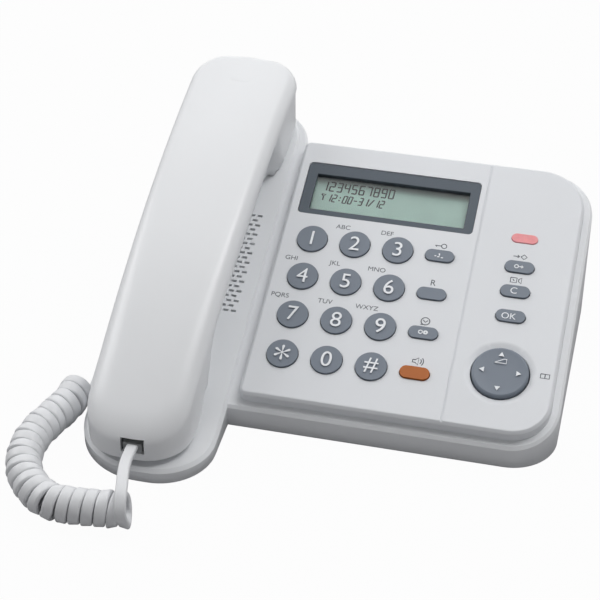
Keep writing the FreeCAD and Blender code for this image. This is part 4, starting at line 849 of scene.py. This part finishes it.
deselect()
bpy.ops.mesh.primitive_cube_add(size=1.0)
cutter = bpy.context.object
cutter.data.transform(
    Matrix.Translation(mm(PLUG_END.x / MM, MOUTH_Y, MOUTH_Z)) @ Matrix.Diagonal(
        (MOUTH_WIDE * MM, MOUTH_DEEP * MM, MOUTH_TALL * MM, 1.0)))
for piece, node in ((outer, "handset_back_shell"), (inner, "handset_front_shell")):
    wall = piece.modifiers.new("wall", "SOLIDIFY")
    wall.thickness = SHELL_WALL * MM
    wall.offset = -1.0
    apply(piece, wall)
    mouth = piece.modifiers.new("mouth", "BOOLEAN")
    mouth.operation = "DIFFERENCE"
    mouth.object = cutter
    mouth.solver = "EXACT"
    apply(piece, mouth)
    bpy.ops.object.shade_smooth_by_angle(angle=SHARP_ANGLE)
    carry(piece, "handset", "handset_plastic")
    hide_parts(node)
    print(piece.name, len(piece.data.polygons), "faces with its wall")
bpy.data.objects.remove(cutter)

# %% [markdown]
# ## The keys
# The round dial keys are low domes. One is modelled from a cylinder whose top is inset and raised
# a few times, and then copied to all twelve places, each copy with its own mesh.

# %% Round keys
KEY_RADIUS, KEY_PROUD, KEY_SINK, KEY_DOME = 6.5, 1.4, 2.3, 0.5
KEY_SMOOTH = 30.0
ROUND_DOME = [(0.25, 0.22), (0.35, 0.13), (0.9, 0.09), (2.0, 0.05)]
DIAL_PITCH_U, DIAL_PITCH_V = 18.6, 19.5
DIAL_ROWS = [["1", "2", "3"], ["4", "5", "6"], ["7", "8", "9"], ["star", "0", "hash"]]


def dial_places():
    """The name of each dial key with its place on the panel."""
    for row, names in enumerate(DIAL_ROWS):
        for column, name in enumerate(names):
            yield name, (column - 1) * DIAL_PITCH_U, (1.5 - row) * DIAL_PITCH_V


def select_top(piece):
    """Selects the faces that look up and lie above the panel, in edit mode."""
    mesh = bmesh.from_edit_mesh(piece.data)
    for face in mesh.faces:
        face.select_set(face.normal.z > 0.9 and face.calc_center_median().z > 0.0)
    mesh.select_flush_mode()
    bmesh.update_edit_mesh(piece.data)


def domed(name, length, radius, dome):
    """A low key round its own origin: a cylinder, drawn out to a length, with a domed top."""
    deselect()
    depth = (KEY_SINK + KEY_PROUD - KEY_DOME) * MM
    bpy.ops.mesh.primitive_cylinder_add(
        vertices=64, radius=radius * MM, depth=depth, location=(0, 0, depth / 2 - KEY_SINK * MM))
    piece = bpy.context.object
    piece.name = name
    bpy.ops.object.transform_apply(location=True, rotation=True, scale=True)
    half = length / 2 * MM - radius * MM
    for vertex in piece.data.vertices:
        if abs(vertex.co.x) > MERGE_REACH:
            vertex.co.x += math.copysign(half, vertex.co.x)
    bpy.ops.object.mode_set(mode="EDIT")
    bpy.ops.mesh.select_all(action="DESELECT")
    for inset, rise in dome:
        select_top(piece)
        bpy.ops.mesh.inset(thickness=inset * MM)
        bpy.ops.transform.translate(value=(0, 0, rise * MM))
    finish_faces(KEY_SMOOTH)
    return piece


def put_key(pattern, name, u, v):
    """A copy of a key at its place on the panel, standing for the solid on the body of that name."""
    piece = add_object(name + "_cap", pattern.data.copy())
    piece.data.transform(PANEL @ Matrix.Translation(mm(u, v, 0.0)))
    carry(piece, name, slot_of_node[name])
    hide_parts(name)


round_pattern = domed("round_pattern", 2 * KEY_RADIUS, KEY_RADIUS, ROUND_DOME)
for digit, u, v in dial_places():
    put_key(round_pattern, "dial_key_" + digit, u, v)
bpy.data.objects.remove(round_pattern)
print("round keys placed")

# %% [markdown]
# The other keys are small oblongs with round ends. They come from the same helper: half of the
# cylinder is moved to the left and half to the right before its top is domed.

# %% Long keys
LONG_LENGTH, LONG_WIDTH = 12.3, 5.6
LONG_DOME = [(0.25, 0.22), (0.35, 0.13), (0.6, 0.1)]
FUNCTION_U, MENU_U = 36.6, 70.6
FUNCTION_KEYS = ["program_key", "recall_key", "redial_key", "speaker_key"]
MENU_KEYS = [("menu_key_arrow", 29.0), ("menu_key_clear", 16.6), ("menu_key_ok", 4.2)]
long_keys = [(name, FUNCTION_U, (1.5 - row) * DIAL_PITCH_V) for row, name in enumerate(FUNCTION_KEYS)]
long_keys += [(name, MENU_U, v) for name, v in MENU_KEYS]
long_pattern = domed("long_pattern", LONG_LENGTH, LONG_WIDTH / 2, LONG_DOME)
for name, u, v in long_keys:
    put_key(long_pattern, name, u, v)
bpy.data.objects.remove(long_pattern)
print("long keys placed")

# %% [markdown]
# ## Numbers, letters and signs
# The numbers are printed on the keys, so each is a hair-thin raised text laid on its key, turned
# into a mesh and carried by it. The letters stand on the panel at the upper left of each key. The
# mark of the maker, above the display, is left off, and that place is bare.

# %% Print
PRINT_THICK = 0.02


def printed(name, text, size, u, v, w, body, slot_name, wide=1.0):
    """Text lying on the panel, centred on u and v, as a thin mesh."""
    deselect()
    bpy.ops.object.text_add()
    piece = bpy.context.object
    piece.name = name
    piece.data.body = text
    piece.data.size = size * MM
    piece.data.align_x = "CENTER"
    piece.data.align_y = "CENTER"
    piece.data.extrude = PRINT_THICK * MM
    bpy.ops.object.convert(target="MESH")
    piece = bpy.context.object
    corners = [vertex.co for vertex in piece.data.vertices]
    low = Vector([min(corner[axis] for corner in corners) for axis in range(3)])
    high = Vector([max(corner[axis] for corner in corners) for axis in range(3)])
    centre = (low + high) / 2
    piece.data.transform(Matrix.Translation((-centre.x, -centre.y, 0.0)))
    piece.data.transform(Matrix.Diagonal((wide, 1.0, 1.0, 1.0)))
    piece.data.transform(PANEL @ Matrix.Translation(mm(u, v, w)))
    carry(piece, body, slot_name, INK_ON_SLOT)


KEY_TOP = KEY_PROUD + 0.02
LONG_KEY_TOP = KEY_TOP - 0.45
PANEL_PRINT = 0.03
DIGIT_SIZE, STAR_SIZE = 10.1, 10.1 * 1.6
for digit, u, v in dial_places():
    text = {"star": "*", "hash": "#"}.get(digit, digit)
    size = STAR_SIZE if digit == "star" else DIGIT_SIZE
    printed("number_" + digit, text, size, u, v, KEY_TOP, "dial_key_" + digit, "key_plastic")

LETTERS = {
    "ABC": (-6.8, 37.7), "DEF": (12.6, 37.5), "GHI": (-25.4, 18.6), "JKL": (-6.6, 18.4),
    "MNO": (11.7, 18.4), "PQRS": (-26.0, -0.9), "TUV": (-6.6, -0.9), "WXYZ": (11.2, -1.1),
}
LETTER_SIZE = 3.1
for letters, (u, v) in LETTERS.items():
    printed("letters_" + letters, letters, LETTER_SIZE, u, v, PANEL_PRINT, "base", "panel_plastic",
            wide=1.05)
printed("letter_R", "R", 4.2, 36.4, 15.6, PANEL_PRINT, "base", "panel_plastic", wide=0.95)
printed("word_C", "C", 4.4, 70.0, 16.7, LONG_KEY_TOP, "menu_key_clear", "key_plastic")
printed("word_OK", "OK", 4.2, 69.9, 3.9, LONG_KEY_TOP, "menu_key_ok", "key_plastic")
print("print placed")

# %% [markdown]
# The small signs are drawn with a pen: each is a few strokes, given as lists of places on the
# panel round the sign's own middle. The strokes become thin round wires that are pressed flat.

# %% Signs
def ring_stroke(radius, u=0.0, v=0.0, count=20, start=0.0, stop=1.0):
    """Places round a circle, or round a part of it."""
    angles = [2 * math.pi * (start + (stop - start) * step / count) for step in range(count + 1)]
    return [(u + radius * math.cos(angle), v + radius * math.sin(angle)) for angle in angles]


PRESSED_FLAT = 0.12


def sign(name, strokes, pen, u, v, w, body, slot_name):
    """Strokes drawn on the panel round u and v, as one thin mesh."""
    curve = bpy.data.curves.new(name, "CURVE")
    curve.dimensions = "3D"
    curve.bevel_depth = pen / 2 * MM
    curve.bevel_resolution = 1
    curve.use_fill_caps = True
    for stroke in strokes:
        line = curve.splines.new("POLY")
        line.points.add(len(stroke) - 1)
        for point, (x, y) in zip(line.points, stroke):
            point.co = (x * MM, y * MM, 0.0, 1.0)
    choose(add_object(name, curve))
    bpy.ops.object.convert(target="MESH")
    piece = bpy.context.object
    piece.data.transform(Matrix.Diagonal((1.0, 1.0, PRESSED_FLAT, 1.0)))
    piece.data.transform(PANEL @ Matrix.Translation(mm(u, v, w)))
    carry(piece, body, slot_name, INK_ON_SLOT)


PANEL_PEN, KEY_PEN, SIGN_W = 0.42, 0.5, 0.02
PADLOCK_KEY = [[(-2.4, 0.0), (0.3, 0.0)], [(-1.8, 0.0), (-1.8, -0.6)], ring_stroke(1.1, 1.4, 0.0)]
ARROW_TO_STORE = [[(-3.0, 0.0), (-0.4, 0.0)], [(-1.2, 0.7), (-0.4, 0.0), (-1.2, -0.7)],
                  [(0.2, 0.0), (1.5, 1.2), (2.8, 0.0), (1.5, -1.2), (0.2, 0.0)]]
CROSSED_BELL = [[(-2.4, 1.2), (0.2, 1.2), (0.2, -1.2), (-2.4, -1.2), (-2.4, 1.2)],
                [(-1.4, 0.4), (-0.8, -0.4)],
                [(1.0, 0.6), (2.2, 1.4), (2.2, -1.4), (1.0, -0.6), (1.0, 0.6)]]
REDIAL_FACE = [ring_stroke(1.8), [(-1.0, 0.5), (0.0, -0.5), (1.0, 0.5)], [(-1.8, -1.7), (0.4, -1.7)]]
SPEAKER_CONE = [[(-1.8, 0.6), (-0.8, 0.6), (0.6, 1.7), (0.6, -1.7), (-0.8, -0.6), (-1.8, -0.6),
                 (-1.8, 0.6)],
                ring_stroke(1.6, 0.2, 0.0, 8, -0.12, 0.12), ring_stroke(2.5, 0.2, 0.0, 8, -0.12, 0.12)]
OPEN_BOOK = [[(-1.8, 1.0), (1.8, 1.0), (1.8, -1.0), (-1.8, -1.0), (-1.8, 1.0)], [(0.0, 1.0), (0.0, -1.0)]]
for name, strokes, u, v in (
    ("sign_lock", PADLOCK_KEY, 36.2, 34.7), ("sign_store", ARROW_TO_STORE, 70.2, 34.6),
    ("sign_quiet", CROSSED_BELL, 70.2, 22.5), ("sign_redial", REDIAL_FACE, 36.5, -3.8),
    ("sign_speaker", SPEAKER_CONE, 36.5, -23.4), ("sign_book", OPEN_BOOK, 88.6, -21.8),
):
    sign(name, strokes, PANEL_PEN, u, v, SIGN_W, "base", "panel_plastic")

PROGRAM_MARKS = [[(-1.8, -0.3), (-1.0, -0.3)], [(-0.2, 0.9), (0.4, 0.9)], [(0.2, 0.9), (0.2, 0.0)],
                 [(-0.6, -0.6), (0.4, -0.6)], [(1.0, -0.9), (2.0, -0.9)]]
REDIAL_MARKS = [ring_stroke(0.8, -1.1, 0.0, 14), ring_stroke(0.5, 1.0, 0.0, 10),
                ring_stroke(0.8, 1.0, 0.0, 12)]
STORE_MARKS = [ring_stroke(0.8, -1.0, 0.0, 14), [(0.2, 0.0), (1.8, 0.0)],
               [(1.1, 0.6), (1.8, 0.0), (1.1, -0.6)]]
for name, strokes, u, v, key in (
    ("mark_program", PROGRAM_MARKS, 36.3, 29.0, "program_key"),
    ("mark_redial", REDIAL_MARKS, 36.6, -9.8, "redial_key"),
    ("mark_store", STORE_MARKS, 70.3, 28.9, "menu_key_arrow"),
):
    sign(name, strokes, KEY_PEN, u, v, LONG_KEY_TOP, key, "key_plastic")
print("signs drawn")

# %% [markdown]
# The disc shows four arrows and, under the upper one, a rising wedge for louder and softer.

# %% Arrows on the disc
DISC_PRINT = 1.15
ARROW_RADIUS, ARROW_THICK = 1.35, 0.05


def arrow(name, turn, u, v):
    """A small filled triangle, pointing up the slope before it is turned."""
    deselect()
    bpy.ops.mesh.primitive_circle_add(vertices=3, radius=ARROW_RADIUS * MM, fill_type="NGON")
    piece = bpy.context.object
    piece.name = name
    bpy.ops.object.mode_set(mode="EDIT")
    bpy.ops.mesh.select_all(action="SELECT")
    bpy.ops.mesh.extrude_region_move(TRANSFORM_OT_translate={"value": (0, 0, ARROW_THICK * MM)})
    bpy.ops.mesh.select_all(action="SELECT")
    bpy.ops.mesh.normals_make_consistent(inside=False)
    bpy.ops.object.mode_set(mode="OBJECT")
    piece.data.transform(PANEL @ Matrix.Translation(mm(u, v, DISC_PRINT)) @ Matrix.Rotation(turn, 4, "Z"))
    carry(piece, "navigation_disc", "key_plastic", INK_ON_SLOT)


for name, turn, u, v in (
    ("arrow_up", 0.0, 70.0, -15.3), ("arrow_left", math.pi / 2, 63.3, -23.2),
    ("arrow_right", -math.pi / 2, 77.8, -23.1), ("arrow_down", math.pi, 70.5, -30.9),
):
    arrow(name, turn, u, v)
WEDGE = [[(-2.4, -0.9), (2.2, -0.9), (2.2, 1.1), (1.2, 1.1), (-2.4, -0.9)]]
sign("sign_wedge", WEDGE, 0.4, 70.2, -18.3, DISC_PRINT, "navigation_disc", "key_plastic")
print("disc printed")

# %% [markdown]
# The liquid crystal draws its figures with seven segments. A typeface can't do that, but the pen of
# the signs can: a table says where each segment begins and ends in a cell one wide and two high,
# and another says which segments each character needs.

# %% Display
LCD_TOP = -4.42
SEGMENT_ENDS = {
    "a": ((0, 2), (1, 2)), "b": ((1, 2), (1, 1)), "c": ((1, 1), (1, 0)), "d": ((0, 0), (1, 0)),
    "e": ((0, 0), (0, 1)), "f": ((0, 1), (0, 2)), "g": ((0, 1), (1, 1)), "dots": ((0.5, 1.6), (0.5, 1.2)),
    "dot": ((0.5, 0.8), (0.5, 0.4)), "slash": ((0, 0), (1, 2)),
}
SEGMENTS_OF = {
    "0": "a b c d e f", "1": "b c", "2": "a b g e d", "3": "a b g c d", "4": "f g b c",
    "5": "a f g c d", "6": "a f g c d e", "7": "a b c", "8": "a b c d e f g", "9": "a b c d f g",
    "-": "g", ":": "dots dot", "/": "slash",
}


def segments(text, wide, tall, pitch, slant):
    """Strokes of a line of segment figures that lean by a slant, centred on their own middle."""
    start = -((len(text) - 1) * pitch + wide) / 2
    strokes = []
    for place, character in enumerate(text):
        for segment in SEGMENTS_OF[character].split():
            strokes.append([
                (start + place * pitch + x * wide + slant * (y - 1), (y - 1) * tall / 2)
                for x, y in SEGMENT_ENDS[segment]])
    return strokes


number_strokes = segments("1234567890", 2.0, 4.7, 3.3, 0.1)
clock_strokes = segments("12:00-31/12", 1.45, 3.8, 2.35, 0.3)
AERIAL = [[(-0.9, 1.6), (0.9, 1.6), (0.0, 0.4), (-0.9, 1.6)], [(0.0, 0.4), (0.0, -1.6)]]
for name, strokes, pen, u, v in (
    ("lcd_digits", number_strokes, 0.64, -5.1, 61.1), ("lcd_clock", clock_strokes, 0.58, -5.2, 55.0),
    ("lcd_aerial", AERIAL, 0.6, -19.6, 55.0),
):
    sign(name, strokes, pen, u, v, LCD_TOP, "base", "lcd")
print("display written")

# %% [markdown]
# ## Floor, backdrop and light
# The telephone stands on a plain white floor that fades into a white surrounding. To the camera
# alone the floor glows white, and to the light it is a middle grey, so that it keeps the shadow and
# throws little light back on the case. The surrounding is brightest at the back, and three soft
# panels add to it: one above and behind, one above to the right and one low on the left.

# %% Floor and light
FLOOR_HALF = 1.2
FLOOR_GLOW = 0.97
deselect()
bpy.ops.mesh.primitive_plane_add(size=2 * FLOOR_HALF, location=(0, 0, 0))
floor = bpy.context.object
floor.name = "floor"
floor_white = bpy.data.materials.new("floor_white")
floor_white.use_nodes = True
tree = floor_white.node_tree
shader = tree.nodes["Principled BSDF"]
shader.inputs["Base Color"].default_value = (0.38, 0.38, 0.39, 1.0)
shader.inputs["Roughness"].default_value = 0.9
glow = tree.nodes.new("ShaderNodeEmission")
rays = tree.nodes.new("ShaderNodeLightPath")
seen = tree.nodes.new("ShaderNodeMath")
seen.operation = "MULTIPLY"
seen.inputs[1].default_value = FLOOR_GLOW
blend = tree.nodes.new("ShaderNodeMixShader")
tree.links.new(rays.outputs["Is Camera Ray"], seen.inputs[0])
tree.links.new(seen.outputs[0], blend.inputs["Fac"])
tree.links.new(shader.outputs[0], blend.inputs[1])
tree.links.new(glow.outputs[0], blend.inputs[2])
tree.links.new(blend.outputs[0], tree.nodes["Material Output"].inputs["Surface"])
paint(floor, floor_white)
print("floor laid")

# %% Surrounding
SKY_LEVEL = 0.03
SKY_LOBES = [((0, 1, 0), 1.10), ((0, -1, 0), 0.38), ((1, 0, 0), 0.06)]
world = bpy.data.worlds.new("studio")
bpy.context.scene.world = world
world.use_nodes = True
tree = world.node_tree
background = tree.nodes["Background"]
background.inputs["Color"].default_value = (1.0, 1.0, 1.0, 1.0)
direction = tree.nodes.new("ShaderNodeTexCoord")
total = None
for toward, amount in SKY_LOBES:
    along = tree.nodes.new("ShaderNodeVectorMath")
    along.operation = "DOT_PRODUCT"
    along.inputs[1].default_value = toward
    tree.links.new(direction.outputs["Generated"], along.inputs[0])
    lobe = tree.nodes.new("ShaderNodeMapRange")
    lobe.inputs["To Max"].default_value = amount
    tree.links.new(along.outputs["Value"], lobe.inputs["Value"])
    both = tree.nodes.new("ShaderNodeMath")
    both.inputs[0].default_value = SKY_LEVEL
    if total is not None:
        tree.links.new(total, both.inputs[0])
    tree.links.new(lobe.outputs["Result"], both.inputs[1])
    total = both.outputs[0]
rays = tree.nodes.new("ShaderNodeLightPath")
level = tree.nodes.new("ShaderNodeMix")
tree.links.new(rays.outputs["Is Camera Ray"], level.inputs["Factor"])
tree.links.new(total, level.inputs["A"])
level.inputs["B"].default_value = 1.0
tree.links.new(level.outputs["Result"], background.inputs["Strength"])
print("surrounding lit")


# %% Lamps
def soft_light(name, place, target, width, power):
    """A square panel of light at a place, turned towards a target."""
    lamp = bpy.data.lights.new(name, "AREA")
    lamp.size = width
    lamp.energy = power
    piece = add_object(name, lamp)
    piece.location = place
    piece.rotation_euler = (Vector(target) - Vector(place)).to_track_quat("-Z", "Y").to_euler()


soft_light("key_light", (-0.15, 0.45, 1.2), (0, 0, 0.03), 1.0, 3.3)
soft_light("right_light", (0.5, 0.15, 1.2), (0, 0, 0.03), 0.6, 6.2)
soft_light("left_light", (-0.8, 0.1, 0.6), (-0.06, 0, 0.03), 0.5, 2.9)
bpy.context.scene.view_settings.view_transform = "Standard"
print("lamps placed")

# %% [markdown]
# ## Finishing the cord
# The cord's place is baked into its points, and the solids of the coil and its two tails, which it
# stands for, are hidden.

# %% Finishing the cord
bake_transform(cord)
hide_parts("cord_coil", "cord_tail_handset", "cord_tail_base")
